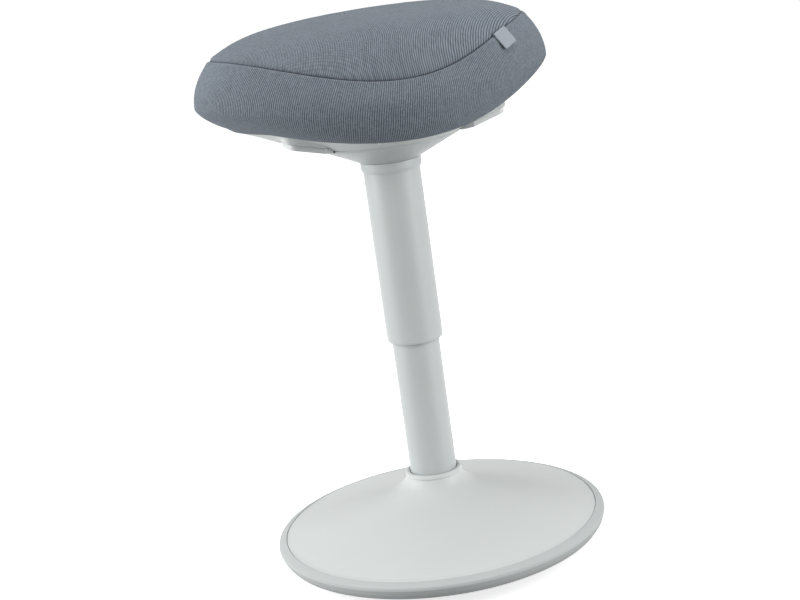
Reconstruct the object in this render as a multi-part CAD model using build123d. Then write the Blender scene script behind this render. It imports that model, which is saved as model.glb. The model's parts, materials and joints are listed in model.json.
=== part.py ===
from build123d import *
from math import asin, atan2, cos, degrees, pi, radians, sin, sqrt, tan
import os

# Wobble stool. Millimetres, +Z up, origin on the floor under the column's axis.
# +X is the sitter's side-to-side direction, -Y is the narrow, drooping front of the seat.

# ---- rocking base -------------------------------------------------------------------------------
flat_r = 60.0  # flat patch that the stool rests on
rocker_rise = 18.0  # height of the tread's edge over the floor
tread_thk = 4.0
tray_thk = 3.0
tray_wall = 4.5
cover_seat_z = 35.0  # ledge that the base cover's edge rests on
rim_outer_r = 178.2
rim_wall, rim_lip = 16.2, 9.7  # rim ring's thickness at the tray's wall, and at the base cover's edge
rim_stand = 0.2  # the rim ring's top stands this far over the base cover's edge
rim_shoulder_in, rim_shoulder_drop = 0.8, 3.8  # rounded upper edge, from the outermost line and the top
rim_belly_drop = 6.4  # outermost line of the rim ring under its top
rim_toe_in, rim_toe_rise = 6.2, 2.2  # turned-in lower edge of the side
rim_side_bow = 1.2
ballast_in = 8.5  # the ballast stops this far inside the cover screws' heads
ballast_top_z = 22.0
cover_edge_thk = 3.0
cover_thk = 2.5
cover_mid_r, cover_mid_z = 62.0, 67.0  # where the flare turns into the shallow cone
cover_lip_r, cover_lip_z = 28.8, 95.2  # raised lip round the column
cover_lip_h, cover_lip_round = 11.0, 2.75
cover_edge_slope, cover_flare_lean = 0.2, 0.12  # rise of the skin at its edge, and its lean at the lip
cover_screw_in = 14.0  # the screws stand this far inside the tray's wall
cover_screw_count = 3
cover_screw_r = 1.75
cover_screw_head_r, cover_screw_head_h = 3.5, 2.3
cover_screw_len = 16.0
screw_boss_r, screw_web = 5.0, 1.0

# ---- stand column -------------------------------------------------------------------------------
tube_r = 25.0  # standard 50 mm gas-lift stand tube
tube_wall = 2.5
tube_top_z = 425.0
flange_r, flange_thk = 55.0, 6.0
column_bolt_r, column_bolt_circle, column_bolt_count = 4.0, 42.0, 4
bush_cap = 3.0

# ---- gas spring and swivel bearing --------------------------------------------------------------
rod_r = 5.0
rod_foot_z = 160.0
anchor_z, anchor_thk = 165.0, 5.0
race_thk, race_r = 1.6, 15.0
ball_r, ball_circle, ball_count = 2.0, 10.5, 12
cage_thk, cage_half_width = 1.5, 3.0
clip_thk, clip_groove_r, clip_r, clip_mouth = 1.3, 3.9, 9.0, 6.0
bumper_r, bumper_len = 11.0, 12.7
cylinder_r, cylinder_wall = 14.0, 2.0
cylinder_top_z = 468.0
taper_len, taper_top_r = 26.0, 13.4
cavity_top_z = 428.0
end_seal_len = 16.0
piston_top_z, piston_len = 408.0, 12.0
valve_r, valve_len, valve_out = 2.9, 51.0, 5.0
valve_head_r, valve_head_len = 4.0, 3.0
lift = 160.0  # travel of the seat

# ---- moving sleeve ------------------------------------------------------------------------------
sleeve_r, sleeve_wall = 29.6, 2.0
sleeve_bottom_z, sleeve_edge_r = 241.6, 1.5
glide_len, glide_recess = 14.0, 2.0
collar_r, collar_foot_r, collar_len, collar_chamfer = 31.6, 30.0, 11.3, 4.0

# ---- hub, mechanism and levers ------------------------------------------------------------------
hub_z = 436.3  # lower edge of the hub cover
hub_r, hub_slope, hub_inset = 32.0, 26.2, 2.0  # the hub's rim is inset from the shell's lower edge
hub_thk = 2.7
socket_wall, socket_z = 6.0, 440.0
plate_z, plate_thk = 451.7, 3.0
plate_half_x, plate_half_y = 46.0, 34.0
plate_web_run, plate_flange = 10.0, 22.0
ear_x, ear_half, ear_thk, ear_in_y = 38.0, 8.0, 2.5, 12.0
ear_margin, window_margin = 2.0, 1.0
pin_r, pin_z, pin_head_r, pin_head_h, pin_stand_out = 3.0, 462.0, 4.6, 1.5, 1.0
mech_bolt_r, mech_bolt_y, mech_bolt_len = 3.0, 23.5, 14.0
mech_bolt_head_r, mech_bolt_head_h = 5.2, 4.0
lever_boss_r, lever_boss_half = 6.0, 11.0
finger_half, finger_thk, finger_reach = 4.5, 3.0, 6.0
finger_rise = 13.0  # fingertip's underside over the pivot
crank_gap, boss_blend = 2.0, 1.0
blade_end_x = 113.0
blade_front_y, blade_back_y = 53.0, 15.0
blade_end_low_z, blade_root_low_z = 470.9, 459.6
blade_end_thk, blade_root_thk, blade_root_x = 5.7, 5.6, 72.0
blade_corner_r = 7.0
blade_front_x = 78.0  # where the blade's front edge meets the arm's slanting one
arm_knee_x, arm_knee_y = 68.0, 43.0
arm_back_x, arm_back_y = 72.0, 13.0
arm_flat_x = 61.0  # the arm's underside is level as far as this
arm_low_z = 458.0
arm_out_x = 58.0  # the arm runs straight out between the ears as far as this
presser_r, presser_h, presser_slot, presser_web = 11.0, 7.5, 4.0, 4.0
recess_gap = 1.6  # round the paddle's plan, in the hollow that it works in
recess_drop = 0.5  # the hollow starts this far under the paddle's arm
recess_wall, recess_roof, recess_start_gap = 2.0, 1.6, 1.5

# ---- seat ---------------------------------------------------------------------------------------
# plan of the seat: half width, half depth, and how much fuller its back is
seat_half_width, seat_half_depth, seat_egg = 180.0, 137.0, 0.25
crown_z, crown_y, crown_side_r = 586.0, 18.0, 560.0
crown_overhang = 55.0  # the dome is drawn on past the seams, so that the walls cut it
plan_points = 32
seam_share = 0.90
seam_front_z, seam_back_z = 532.0, 558.0
seam_front_fall, seam_back_fall = 0.85, 0.50  # slope of the top panel at its front and back edges
# the bulging wall: height over the seat's middle, share of the plan, and fall towards the front in degrees
belly_share = 0.845
flank_z, flank_share, flank_fall = 493.0, 0.93, 3.4
waist_z, waist_fall = 516.0, 3.4
shoulder_z, shoulder_share, shoulder_fall = 547.0, 0.945, 5.0
upper_z, upper_share, upper_fall = 590.0, 0.80, 5.7
skin_thk = 1.5
board_share, board_z, board_thk = 0.80, 484.0, 12.0
hem_share = 0.69
shell_share, shell_thk = 0.82, 2.7
shell_root_r, shell_ledge = 78.0, 2.5  # the shell's middle opening leaves a ledge over the hub's rim
shell_screw_r, shell_screw_head_r, shell_screw_head_h = 2.0, 4.0, 2.4
shell_screw_share, shell_screw_tip, shell_boss_wall = 0.64, 2.0, 2.0
tee_nut_r, tee_nut_flange_r, tee_nut_flange = 4.2, 9.0, 1.5
staple_count, staple_w, staple_wire, staple_leg = 24, 10.0, 1.0, 6.0
staple_share = 0.72
label_w, label_l, label_thk = 22.0, 19.0, 1.0
label_angle, label_z = 328.0, 540.0
label_gap = 0.8  # the flat tab stands off the curved side band at its middle

# ---- clearances ---------------------------------------------------------------------------------
run_gap = 0.06  # radial, for what turns or slides in a fit
loose = 0.3  # between pieces that only pass each other
hole_gap = 0.3
ball_gap = 0.05

# ---- values that follow from those above --------------------------------------------------------
rim_seat_r = rim_outer_r - rim_wall  # tray wall that the soft rim ring is pushed over
cover_r = rim_outer_r - rim_lip
tread_r = rim_seat_r - loose
cover_screw_circle = rim_seat_r - cover_screw_in
ballast_r = cover_screw_circle - cover_screw_head_r - ballast_in
rocker_r = ((tread_r - flat_r) ** 2 + rocker_rise**2) / (2 * rocker_rise)
rocker_angle = asin((tread_r - flat_r) / rocker_r)
tube_bore_r = tube_r - tube_wall
flange_top_z = ballast_top_z + flange_thk
anchor_top_z = anchor_z + anchor_thk
ball_z = anchor_top_z + race_thk + ball_gap + ball_r
upper_race_z = ball_z + ball_r + ball_gap
bumper_z = upper_race_z + race_thk
cylinder_z = bumper_z + bumper_len + loose
bush_foot_z = cylinder_z + lift - loose  # the raised cylinder's foot stays inside the bush
cylinder_bore_r = cylinder_r - cylinder_wall
valve_top_z = cylinder_top_z + valve_out
taper_z = cylinder_top_z - taper_len
sleeve_bore_r = sleeve_r - sleeve_wall
hub_rim_r = shell_root_r - hub_inset
hub_rise = tan(radians(hub_slope))
hub_rim_z = hub_z + (hub_rim_r - hub_r) * hub_rise
shell_root_z = hub_rim_z + hub_thk
collar_z = hub_z - collar_len
plate_flange_x = plate_half_x + plate_web_run
plate_top_z = board_z
mech_bolt_x = plate_flange_x + plate_flange / 2
finger_z = pin_z + finger_rise
shell_top_z = board_z - skin_thk
board_top_z = board_z + board_thk
shell_screw_end_z = board_top_z - shell_screw_tip
recess_start_x = plate_flange_x + plate_flange + recess_start_gap
recess_front_y = blade_front_y + recess_gap + recess_wall
recess_back_y = blade_back_y - recess_gap - recess_wall


def ring(r_in, r_out, z_low, z_high):
    """A round ring, or a disc where r_in is 0."""
    place = Pos(0, 0, (z_low + z_high) / 2)
    body = place * Cylinder(r_out, z_high - z_low)
    if r_in > 0:
        body -= place * Cylinder(r_in, z_high - z_low)
    return body


def turned(*edges):
    """The solid turned about Z from a closed outline in the XZ plane."""
    return revolve(Plane.XZ * make_face(Curve() + list(edges)), Axis.Z)


def turned_points(*points):
    """The solid turned about Z from a polygon in the XZ plane."""
    return revolve(Plane.XZ * make_face(Polyline(*points, close=True)), Axis.Z)


def around(count, radius, start=0.0):
    """Places evenly spaced on a circle."""
    return [Rot(0, 0, start + 360 * i / count) * Pos(radius, 0, 0) for i in range(count)]


def group(solids):
    """Separate solids kept as one node."""
    return Compound(children=[part for solid in solids for part in solid.solids()])


def mirrored(solid):
    """The same piece on the stool's left side."""
    return mirror(solid, about=Plane.YZ)


# ---- rocking base -------------------------------------------------------------------------------
def rocker_point(offset, share=1.0):
    """A point of the rocker's curve, offset upwards into the base."""
    angle = rocker_angle * share
    radius = rocker_r - offset
    return (flat_r + radius * sin(angle), rocker_r - radius * cos(angle))


def rocker_height(r, offset):
    """Height of the offset rocker curve at a radius from the column's axis."""
    radius = rocker_r - offset
    return rocker_r - sqrt(radius**2 - (r - flat_r) ** 2)


def rocker_layer(low, high):
    """A dished layer between two offsets of the rocker's curve."""
    return turned(
        Line((0, low), (flat_r, low)),
        ThreePointArc((flat_r, low), rocker_point(low, 0.5), rocker_point(low)),
        Line(rocker_point(low), rocker_point(high)),
        ThreePointArc(rocker_point(high), rocker_point(high, 0.5), (flat_r, high)),
        Line((flat_r, high), (0, high)),
        Line((0, high), (0, low)),
    )


def make_rocker_tread():
    screw_holes = [place * ring(0, cover_screw_head_r + loose, 0, cover_seat_z) for place in screw_places()]
    return rocker_layer(0, tread_thk) - screw_holes


def screw_places():
    return around(cover_screw_count, cover_screw_circle, 90)


def screw_head_top():
    """The screws' heads seat in pockets that leave a thin web of the tray."""
    return rocker_height(cover_screw_circle - cover_screw_head_r, tread_thk + tray_thk) - screw_web


def make_base_tray():
    tray = rocker_layer(tread_thk, tread_thk + tray_thk)
    wall_z = rocker_point(tread_thk)[1]
    tray += ring(rim_seat_r - tray_wall, rim_seat_r, wall_z, cover_seat_z)
    for place in screw_places():
        tray -= place * ring(0, cover_screw_head_r + hole_gap, 0, screw_head_top())
        tray -= place * ring(0, cover_screw_r + hole_gap, 0, cover_seat_z)
    for place in column_bolt_places():
        tray -= place * column_bolt(hole_gap)
    return tray


def make_ballast_plate():
    low = tread_thk + tray_thk
    edge = asin((ballast_r - flat_r) / (rocker_r - low))
    share = edge / rocker_angle
    plate = turned(
        Line((0, low), (flat_r, low)),
        ThreePointArc((flat_r, low), rocker_point(low, share / 2), rocker_point(low, share)),
        Line(rocker_point(low, share), (ballast_r, ballast_top_z)),
        Line((ballast_r, ballast_top_z), (0, ballast_top_z)),
        Line((0, ballast_top_z), (0, low)),
    )
    for place in column_bolt_places():
        plate -= place * column_bolt(hole_gap)
    return plate


def make_rim_ring():
    """A soft ring with a sloping top band over an undercut side."""
    ledge_r = cover_r + loose
    low_z, top_z = rocker_rise + loose, cover_seat_z + cover_edge_thk + rim_stand
    belly = (rim_outer_r, top_z - rim_belly_drop)
    shoulder = (rim_outer_r - rim_shoulder_in, top_z - rim_shoulder_drop)
    toe = (rim_outer_r - rim_toe_in, low_z + rim_toe_rise)
    side = ((toe[0] + belly[0] + rim_side_bow) / 2, (toe[1] + belly[1] - rim_side_bow) / 2)
    turn = (rim_outer_r - rim_shoulder_in / 4, (shoulder[1] + belly[1]) / 2)
    return turned(
        Line((rim_seat_r, low_z), toe),
        ThreePointArc(toe, side, belly),
        ThreePointArc(belly, turn, shoulder),
        Line(shoulder, (ledge_r, top_z)),
        Line((ledge_r, top_z), (ledge_r, cover_seat_z)),
        Line((ledge_r, cover_seat_z), (rim_seat_r, cover_seat_z)),
        Line((rim_seat_r, cover_seat_z), (rim_seat_r, low_z)),
    )


def cover_outline():
    """The flare of the base cover, from its edge to the lip at the column."""
    edge = (cover_r, cover_seat_z + cover_edge_thk)
    middle = (cover_mid_r, cover_mid_z)
    lip = (cover_lip_r, cover_lip_z - cover_lip_round)
    return Spline(edge, middle, lip, tangents=[(-1, cover_edge_slope), (-cover_flare_lean, 1)])


def under_cover():
    """Everything inside the base cover's outer skin."""
    skin = cover_outline()
    return turned(
        skin,
        Line(skin @ 1, (0, (skin @ 1).Y)),
        Line((0, (skin @ 1).Y), (0, 0)),
        Line((0, 0), (cover_r, 0)),
        Line((cover_r, 0), skin @ 0),
    )


def make_base_cover():
    skin = cover_outline()
    bore_r = tube_r + loose
    edge_in = rim_seat_r - tray_wall
    inner = Spline(
        (edge_in, cover_seat_z + cover_thk),
        (cover_mid_r - cover_thk / 2, cover_mid_z - cover_thk),
        (bore_r, cover_lip_z - cover_lip_h),
        tangents=[(-1, cover_edge_slope), (-4 * cover_flare_lean, 1)],
    )
    lip_top = ((skin @ 1).X + bore_r) / 2
    cover = turned(
        skin,
        ThreePointArc(skin @ 1, (lip_top, cover_lip_z), (bore_r, cover_lip_z - cover_lip_round)),
        Line((bore_r, cover_lip_z - cover_lip_round), (bore_r, cover_lip_z - cover_lip_h)),
        inner,
        Line((edge_in, cover_seat_z + cover_thk), (edge_in, cover_seat_z)),
        Line((edge_in, cover_seat_z), (cover_r, cover_seat_z)),
        Line((cover_r, cover_seat_z), skin @ 0),
    )
    boss_low = rocker_height(cover_screw_circle + screw_boss_r, tread_thk + tray_thk)
    inside = under_cover()
    for place in screw_places():
        cover += (place * ring(0, screw_boss_r, boss_low, cover_mid_z)) & inside
    for place in screw_places():
        cover -= place * ring(0, cover_screw_r, 0, screw_head_top() + cover_screw_len)
    return cover


def make_cover_screws():
    top = screw_head_top()
    screw = ring(0, cover_screw_head_r, top - cover_screw_head_h, top)
    screw += ring(0, cover_screw_r, top, top + cover_screw_len)
    return group(place * screw for place in screw_places())


# ---- stand column -------------------------------------------------------------------------------
def column_bolt_places():
    return around(column_bolt_count, column_bolt_circle, 45)


def column_bolt(gap=0.0):
    """A countersunk bolt from the tray's underside up into the flange, or its clearance hole."""
    head = turned_points(
        (0, tread_thk),
        (2 * column_bolt_r + gap, tread_thk),
        (column_bolt_r + gap, tread_thk + column_bolt_r),
        (0, tread_thk + column_bolt_r),
    )
    return head + ring(0, column_bolt_r + gap, tread_thk, flange_top_z)


def make_column_bolts():
    return group(place * column_bolt() for place in column_bolt_places())


def make_stand_flange():
    flange = ring(tube_r, flange_r, ballast_top_z, flange_top_z)
    hole = ring(0, column_bolt_r, ballast_top_z, flange_top_z)
    return flange - [place * hole for place in column_bolt_places()]


def make_stand_tube():
    return ring(tube_bore_r, tube_r, ballast_top_z, tube_top_z)


def make_stand_tube_bush():
    bore = cylinder_r + run_gap
    bush = ring(bore, tube_bore_r, bush_foot_z, tube_top_z)
    return bush + ring(bore, tube_r, tube_top_z, tube_top_z + bush_cap)


def make_anchor_plate():
    return ring(rod_r + run_gap, tube_bore_r, anchor_z, anchor_top_z)


# ---- gas spring and swivel bearing --------------------------------------------------------------
def make_thrust_race_lower():
    return ring(rod_r + loose, race_r, anchor_top_z, anchor_top_z + race_thk)


def make_thrust_race_upper():
    return ring(rod_r, race_r, upper_race_z, bumper_z)


def make_thrust_balls():
    return group(place * Pos(0, 0, ball_z) * Sphere(ball_r) for place in around(ball_count, ball_circle))


def make_ball_cage():
    cage = ring(
        ball_circle - cage_half_width,
        ball_circle + cage_half_width,
        ball_z - cage_thk / 2,
        ball_z + cage_thk / 2,
    )
    pocket = ring(0, ball_r + run_gap, ball_z - ball_r, ball_z + ball_r)
    return cage - [place * pocket for place in around(ball_count, ball_circle)]


def make_retaining_clip():
    top = anchor_z - loose
    clip = ring(clip_groove_r, clip_r, top - clip_thk, top)
    mouth = Pos(0, clip_r / 2, top - clip_thk / 2) * Box(clip_mouth, clip_r, 2 * clip_thk)
    return clip - mouth


def make_piston_rod():
    rod = ring(0, rod_r, rod_foot_z, piston_top_z)
    groove_top = anchor_z - loose
    return rod - ring(clip_groove_r, rod_r, groove_top - clip_thk, groove_top)


def make_piston_head():
    return ring(rod_r, cylinder_bore_r - run_gap, piston_top_z - piston_len, piston_top_z)


def make_rubber_bumper():
    return ring(rod_r, bumper_r, bumper_z, bumper_z + bumper_len)


def make_gas_cylinder():
    body = turned_points(
        (0, cylinder_z),
        (cylinder_r, cylinder_z),
        (cylinder_r, taper_z),
        (taper_top_r, cylinder_top_z),
        (0, cylinder_top_z),
    )
    body -= ring(0, cylinder_bore_r, cylinder_z, cavity_top_z)
    return body - ring(0, valve_r + run_gap, cavity_top_z, cylinder_top_z)


def make_cylinder_end_seal():
    return ring(rod_r + run_gap, cylinder_bore_r, cylinder_z, cylinder_z + end_seal_len)


def make_valve_pin():
    foot = valve_top_z - valve_len
    return ring(0, valve_r, foot, valve_top_z) + ring(0, valve_head_r, foot, foot + valve_head_len)


# ---- moving sleeve ------------------------------------------------------------------------------
def make_column_sleeve():
    sleeve = ring(sleeve_bore_r, sleeve_r, sleeve_bottom_z, hub_z + hub_thk)
    rim = sleeve.edges().filter_by(GeomType.CIRCLE).group_by(Axis.Z)[0].sort_by(SortBy.RADIUS)[-1]
    return fillet(rim, sleeve_edge_r)


def make_sleeve_glide_ring():
    low = sleeve_bottom_z + glide_recess
    return ring(tube_r + run_gap, sleeve_bore_r, low, low + glide_len)


def make_sleeve_collar():
    return turned_points(
        (sleeve_r, collar_z),
        (collar_foot_r, collar_z),
        (collar_r, collar_z + collar_chamfer),
        (collar_r, hub_z),
        (sleeve_r, hub_z),
    )


# ---- hub, mechanism and levers ------------------------------------------------------------------
def paddle_recess(x_in, wall, roof):
    """The hollow round each paddle from x_in outwards, drawn out by a wall and a roof."""
    floor_z = arm_low_z - recess_drop
    height = shell_top_z - recess_roof + roof - floor_z
    block = Pos(0, 0, floor_z) * extrude(offset(lever_plan(), recess_gap + wall), height)
    outside = Box(2 * seat_half_width, 2 * seat_half_width, 2 * crown_z)
    block &= Pos(x_in + seat_half_width, 0, 0) * outside
    return [block, mirrored(block)]


def make_hub_cover():
    cone = turned_points(
        (sleeve_r, hub_z),
        (hub_r, hub_z),
        (hub_rim_r, hub_rim_z),
        (hub_rim_r, hub_rim_z + hub_thk),
        (sleeve_r, hub_z + hub_thk - (hub_r - sleeve_r) * hub_rise),
    )
    return cone - paddle_recess(plate_half_x, 0, 0)


def make_taper_socket():
    outer = ring(0, cylinder_r + socket_wall, socket_z, cylinder_top_z)
    return outer - turned_points(
        (0, socket_z),
        (cylinder_r, socket_z),
        (cylinder_r, taper_z),
        (taper_top_r, cylinder_top_z),
        (0, cylinder_top_z),
    )


def hat_line(x_shift, z_shift):
    """Half of the pressed plate's section, from its middle to its flange."""
    return [
        (0, plate_z + z_shift),
        (plate_half_x + x_shift, plate_z + z_shift),
        (plate_flange_x + x_shift, plate_top_z - plate_thk + z_shift),
        (plate_flange_x + plate_flange, plate_top_z - plate_thk + z_shift),
    ]


def make_mechanism_plate():
    lower = hat_line(0, 0)
    upper = hat_line(-plate_thk / 2, plate_thk)
    half = extrude(
        Plane.XZ * make_face(Polyline(*lower, *reversed(upper), close=True)), plate_half_y, both=True
    )
    ear_rise = pin_z + pin_head_r + ear_margin - plate_z
    ear = Box(2 * ear_half, ear_thk, ear_rise, align=(Align.CENTER, Align.MIN, Align.MIN))
    for ear_low_y in (ear_in_y, -ear_in_y - ear_thk):
        half += Pos(ear_x, ear_low_y, plate_z) * ear
    web_low, web_high = plate_z + plate_thk, plate_top_z - 2 * plate_thk
    web_window = Box(2 * plate_web_run + plate_thk, 2 * (ear_in_y + window_margin), web_high - web_low)
    half -= Pos(plate_flange_x, 0, (web_low + web_high) / 2) * web_window
    half -= Pos(ear_x, 0, pin_z) * Rot(90, 0, 0) * Cylinder(pin_r, 4 * plate_half_y)
    for y in (-mech_bolt_y, mech_bolt_y):
        half -= Pos(mech_bolt_x, y, 0) * ring(0, mech_bolt_r + hole_gap, plate_z, plate_top_z)
    plate = half + mirrored(half)
    return plate - ring(0, cylinder_r + socket_wall, plate_z, plate_z + plate_thk)


def make_mechanism_bolts():
    bolts = []
    head_z = plate_top_z - plate_thk
    for x in (-mech_bolt_x, mech_bolt_x):
        for y in (-mech_bolt_y, mech_bolt_y):
            head = Pos(0, 0, head_z - mech_bolt_head_h) * extrude(
                RegularPolygon(mech_bolt_head_r, 6), mech_bolt_head_h
            )
            bolts.append(Pos(x, y, 0) * (head + ring(0, mech_bolt_r, head_z, head_z + mech_bolt_len)))
    return group(bolts)


def make_lever_pins():
    reach = ear_in_y + ear_thk + pin_stand_out
    pin = Cylinder(pin_r, 2 * reach) + Pos(0, 0, reach) * Cylinder(
        pin_head_r, pin_head_h, align=(Align.CENTER, Align.CENTER, Align.MIN)
    )
    return group(Pos(x, 0, pin_z) * Rot(90, 0, 0) * pin for x in (-ear_x, ear_x))


def lever_plan():
    """Plan of the arm and its finger paddle, right-hand side."""
    outline = Polyline(
        (ear_x, lever_boss_half),
        (ear_x, -lever_boss_half),
        (arm_out_x, -lever_boss_half),
        (arm_knee_x, -arm_knee_y),
        (blade_front_x, -blade_front_y),
        (blade_end_x, -blade_front_y),
        (blade_end_x, -blade_back_y),
        (arm_back_x, -arm_back_y),
        (arm_out_x, lever_boss_half),
        close=True,
    )
    face = make_face(outline)
    ends = face.vertices().group_by(Axis.X)[-1]
    return fillet(ends, blade_corner_r)


def make_release_paddle_right():
    low = [
        (ear_x, arm_low_z),
        (arm_flat_x, arm_low_z),
        (blade_root_x, blade_root_low_z),
        (blade_end_x, blade_end_low_z),
    ]
    high = [
        (blade_end_x, blade_end_low_z + blade_end_thk),
        (blade_root_x, blade_root_low_z + blade_root_thk),
        (ear_x, pin_z + lever_boss_r - boss_blend),
    ]
    side = extrude(Plane.XZ * make_face(Polyline(*low, *high, close=True)), 2 * blade_front_y, both=True)
    lever = side & extrude(lever_plan(), crown_z)
    lever += Pos(ear_x, 0, pin_z) * Rot(90, 0, 0) * Cylinder(lever_boss_r, 2 * lever_boss_half)
    crank_x = cylinder_r + socket_wall + crank_gap
    finger = Polyline(
        (finger_reach, finger_z),
        (crank_x, finger_z),
        (ear_x - lever_boss_r + boss_blend, pin_z),
        (ear_x, pin_z + lever_boss_r - boss_blend / 2),
        (crank_x + finger_thk, finger_z + finger_thk),
        (finger_reach, finger_z + finger_thk),
        close=True,
    )
    lever += extrude(Plane.XZ * make_face(finger), finger_half, both=True)
    return lever - Pos(ear_x, 0, pin_z) * Rot(90, 0, 0) * Cylinder(pin_r + run_gap, 4 * lever_boss_half)


def make_presser_cap():
    cap = ring(0, presser_r, valve_top_z, valve_top_z + presser_h)
    slot_z = finger_z - (presser_slot - finger_thk) / 2
    slot = Box(presser_r, 2 * (finger_half + loose), presser_slot, align=(Align.MIN, Align.CENTER, Align.MIN))
    slot = Pos(presser_web, 0, slot_z) * slot
    return cap - [slot, mirrored(slot)]


# ---- seat ---------------------------------------------------------------------------------------
def cushion_wall(inset=0.0):
    """The cushion's bulging sides, stood up from its underside past its top."""
    levels = [
        (belly_share, board_z - skin_thk + inset, 0.0),
        (flank_share, flank_z, flank_fall),
        (1.0, waist_z, waist_fall),
        (shoulder_share, shoulder_z, shoulder_fall),
        (upper_share, upper_z, upper_fall),
    ]
    return loft([Pos(0, 0, z) * Rot(fall, 0, 0) * seat_plan(share, inset) for share, z, fall in levels])


def under_crown(inset=0.0):
    """Everything under the domed top, which droops at the front and curves down to both sides."""
    depth = seat_half_depth * seam_share
    top = Spline(
        (depth, seam_back_z - inset),
        (crown_y, crown_z - inset),
        (-depth, seam_front_z - inset),
        tangents=[(-1, seam_back_fall), (-1, -seam_front_fall)],
    )
    back = (depth + crown_overhang, seam_back_z - inset - crown_overhang * seam_back_fall)
    front = (-depth - crown_overhang, seam_front_z - inset - crown_overhang * seam_front_fall)
    outline = Curve() + [
        Line(back, top @ 0),
        top,
        Line(top @ 1, front),
        Polyline(front, (front[0], socket_z), (back[0], socket_z), back),
    ]
    face = Plane.YZ * make_face(outline)
    axis = Axis((0, 0, crown_z - crown_side_r), (0, 1, 0))
    sweep_angle = 2 * degrees(asin((seat_half_width + crown_overhang) / crown_side_r))
    return revolve(face.rotate(axis, -sweep_angle / 2), axis, sweep_angle)


def cushion_body(inset=0.0):
    """The whole cushion's shape, drawn in by an inset."""
    return cushion_wall(inset) & under_crown(inset)


def seat_plan(share, inset=0.0):
    """The seat's plan at a share of its size."""
    points = []
    for i in range(plan_points):
        t = 2 * pi * i / plan_points
        width = (seat_half_width * share - inset) * (1 + seat_egg * sin(t))
        points.append((width * cos(t), (seat_half_depth * share - inset) * sin(t)))
    return make_face(Spline(*points, periodic=True))


def prism(share, z_low, z_high, inset=0.0):
    """The seat's plan stood up between two heights."""
    return Pos(0, 0, z_low) * extrude(seat_plan(share, inset), z_high - z_low)


def make_seat_board():
    board = prism(board_share, board_z, board_top_z)
    for place in nut_places():
        board -= place * ring(0, tee_nut_r, board_z, board_top_z)
        board -= place * ring(0, tee_nut_flange_r, board_top_z - tee_nut_flange, board_top_z)
    for place in shell_screw_places():
        board -= place * ring(0, shell_screw_r, board_z, shell_screw_end_z)
    return board


def nut_places():
    return [Pos(x, y, 0) for x in (-mech_bolt_x, mech_bolt_x) for y in (-mech_bolt_y, mech_bolt_y)]


def make_tee_nuts():
    nut = ring(mech_bolt_r, tee_nut_r, board_z, board_top_z)
    nut += ring(mech_bolt_r, tee_nut_flange_r, board_top_z - tee_nut_flange, board_top_z)
    return group(place * nut for place in nut_places())


def make_seat_foam():
    return cushion_body(skin_thk) - prism(board_share, board_z - skin_thk, board_top_z)


def make_cover():
    """The sewn fabric cover as two panels: the top, and the side band with its turned-in hem."""
    wall, foam_top = cushion_wall(), under_crown(skin_thk)
    top_panel = (wall & under_crown()) - foam_top
    band = (wall & foam_top) - cushion_wall(skin_thk) - prism(hem_share, shell_top_z, board_z)
    return top_panel, band


def make_cover_staples():
    """Staples through the hem into the board, left out where the shell's recess roofs press on it."""
    crown_low = shell_top_z - staple_wire
    staple = Box(staple_w, staple_wire, staple_wire, align=(Align.CENTER, Align.CENTER, Align.MIN))
    leg_len = staple_wire + skin_thk + staple_leg
    leg = Box(staple_wire, staple_wire, leg_len, align=(Align.CENTER, Align.CENTER, Align.MIN))
    for side in (-1, 1):
        staple += Pos(side * (staple_w - staple_wire) / 2, 0, 0) * leg
    staples = []
    for i in range(staple_count):
        t = 2 * pi * (i + 0.5) / staple_count
        x = seat_half_width * staple_share * (1 + seat_egg * sin(t)) * cos(t)
        y = seat_half_depth * staple_share * sin(t)
        by_recess = -recess_front_y - staple_w < y < -recess_back_y + staple_w
        over_recess = by_recess and abs(x) > recess_start_x - staple_w
        if not over_recess:
            staples.append(Pos(x, y, crown_low) * Rot(0, 0, degrees(atan2(y, x)) + 90) * staple)
    return group(staples)


def shell_screw_places():
    """Two screws behind the column, and two in front of it between the paddles."""
    places = []
    for angle in (45, 135, -72, -108):
        t = radians(angle)
        x = seat_half_width * shell_screw_share * (1 + seat_egg * sin(t)) * cos(t)
        places.append(Pos(x, seat_half_depth * shell_screw_share * sin(t), 0))
    return places


def shell_height(place):
    """Height of the shell's outer surface under a screw."""
    x, y = place.position.X, place.position.Y
    width_here = seat_half_width * (1 + seat_egg * y / seat_half_depth)
    share = sqrt((x / width_here) ** 2 + (y / seat_half_depth) ** 2)
    rim_r = shell_share * sqrt(x**2 + y**2) / share
    rise = (shell_top_z - shell_root_z) / (rim_r - shell_root_r)
    return shell_root_z + (sqrt(x**2 + y**2) - shell_root_r) * rise


def make_seat_shell():
    root = Pos(0, 0, shell_root_z) * make_face(CenterArc((0, 0), shell_root_r, 90, 360))
    dish = loft([root, Pos(0, 0, shell_top_z) * seat_plan(shell_share)])
    shell = dish - Pos(0, 0, shell_thk) * dish
    shell -= paddle_recess(plate_half_x, 0, 0)
    for outer, inner in zip(
        paddle_recess(recess_start_x, recess_wall, recess_roof),
        paddle_recess(plate_half_x, 0, 0),
    ):
        shell += (outer - inner) & dish
    shell -= ring(0, shell_root_r - shell_ledge, shell_root_z, shell_root_z + shell_thk)
    boss_low = shell_root_z + shell_thk
    for place in shell_screw_places():
        boss = place * ring(0, shell_screw_head_r + shell_boss_wall, boss_low, board_z)
        shell += boss - (Pos(0, 0, shell_thk / 2) * under_dish(dish))
    for place in shell_screw_places():
        shell -= place * ring(0, shell_screw_r + hole_gap, shell_root_z, board_z)
        pocket_top = shell_height(place) + shell_screw_head_h
        shell -= place * ring(0, shell_screw_head_r + hole_gap, shell_root_z, pocket_top)
    return shell


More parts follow.
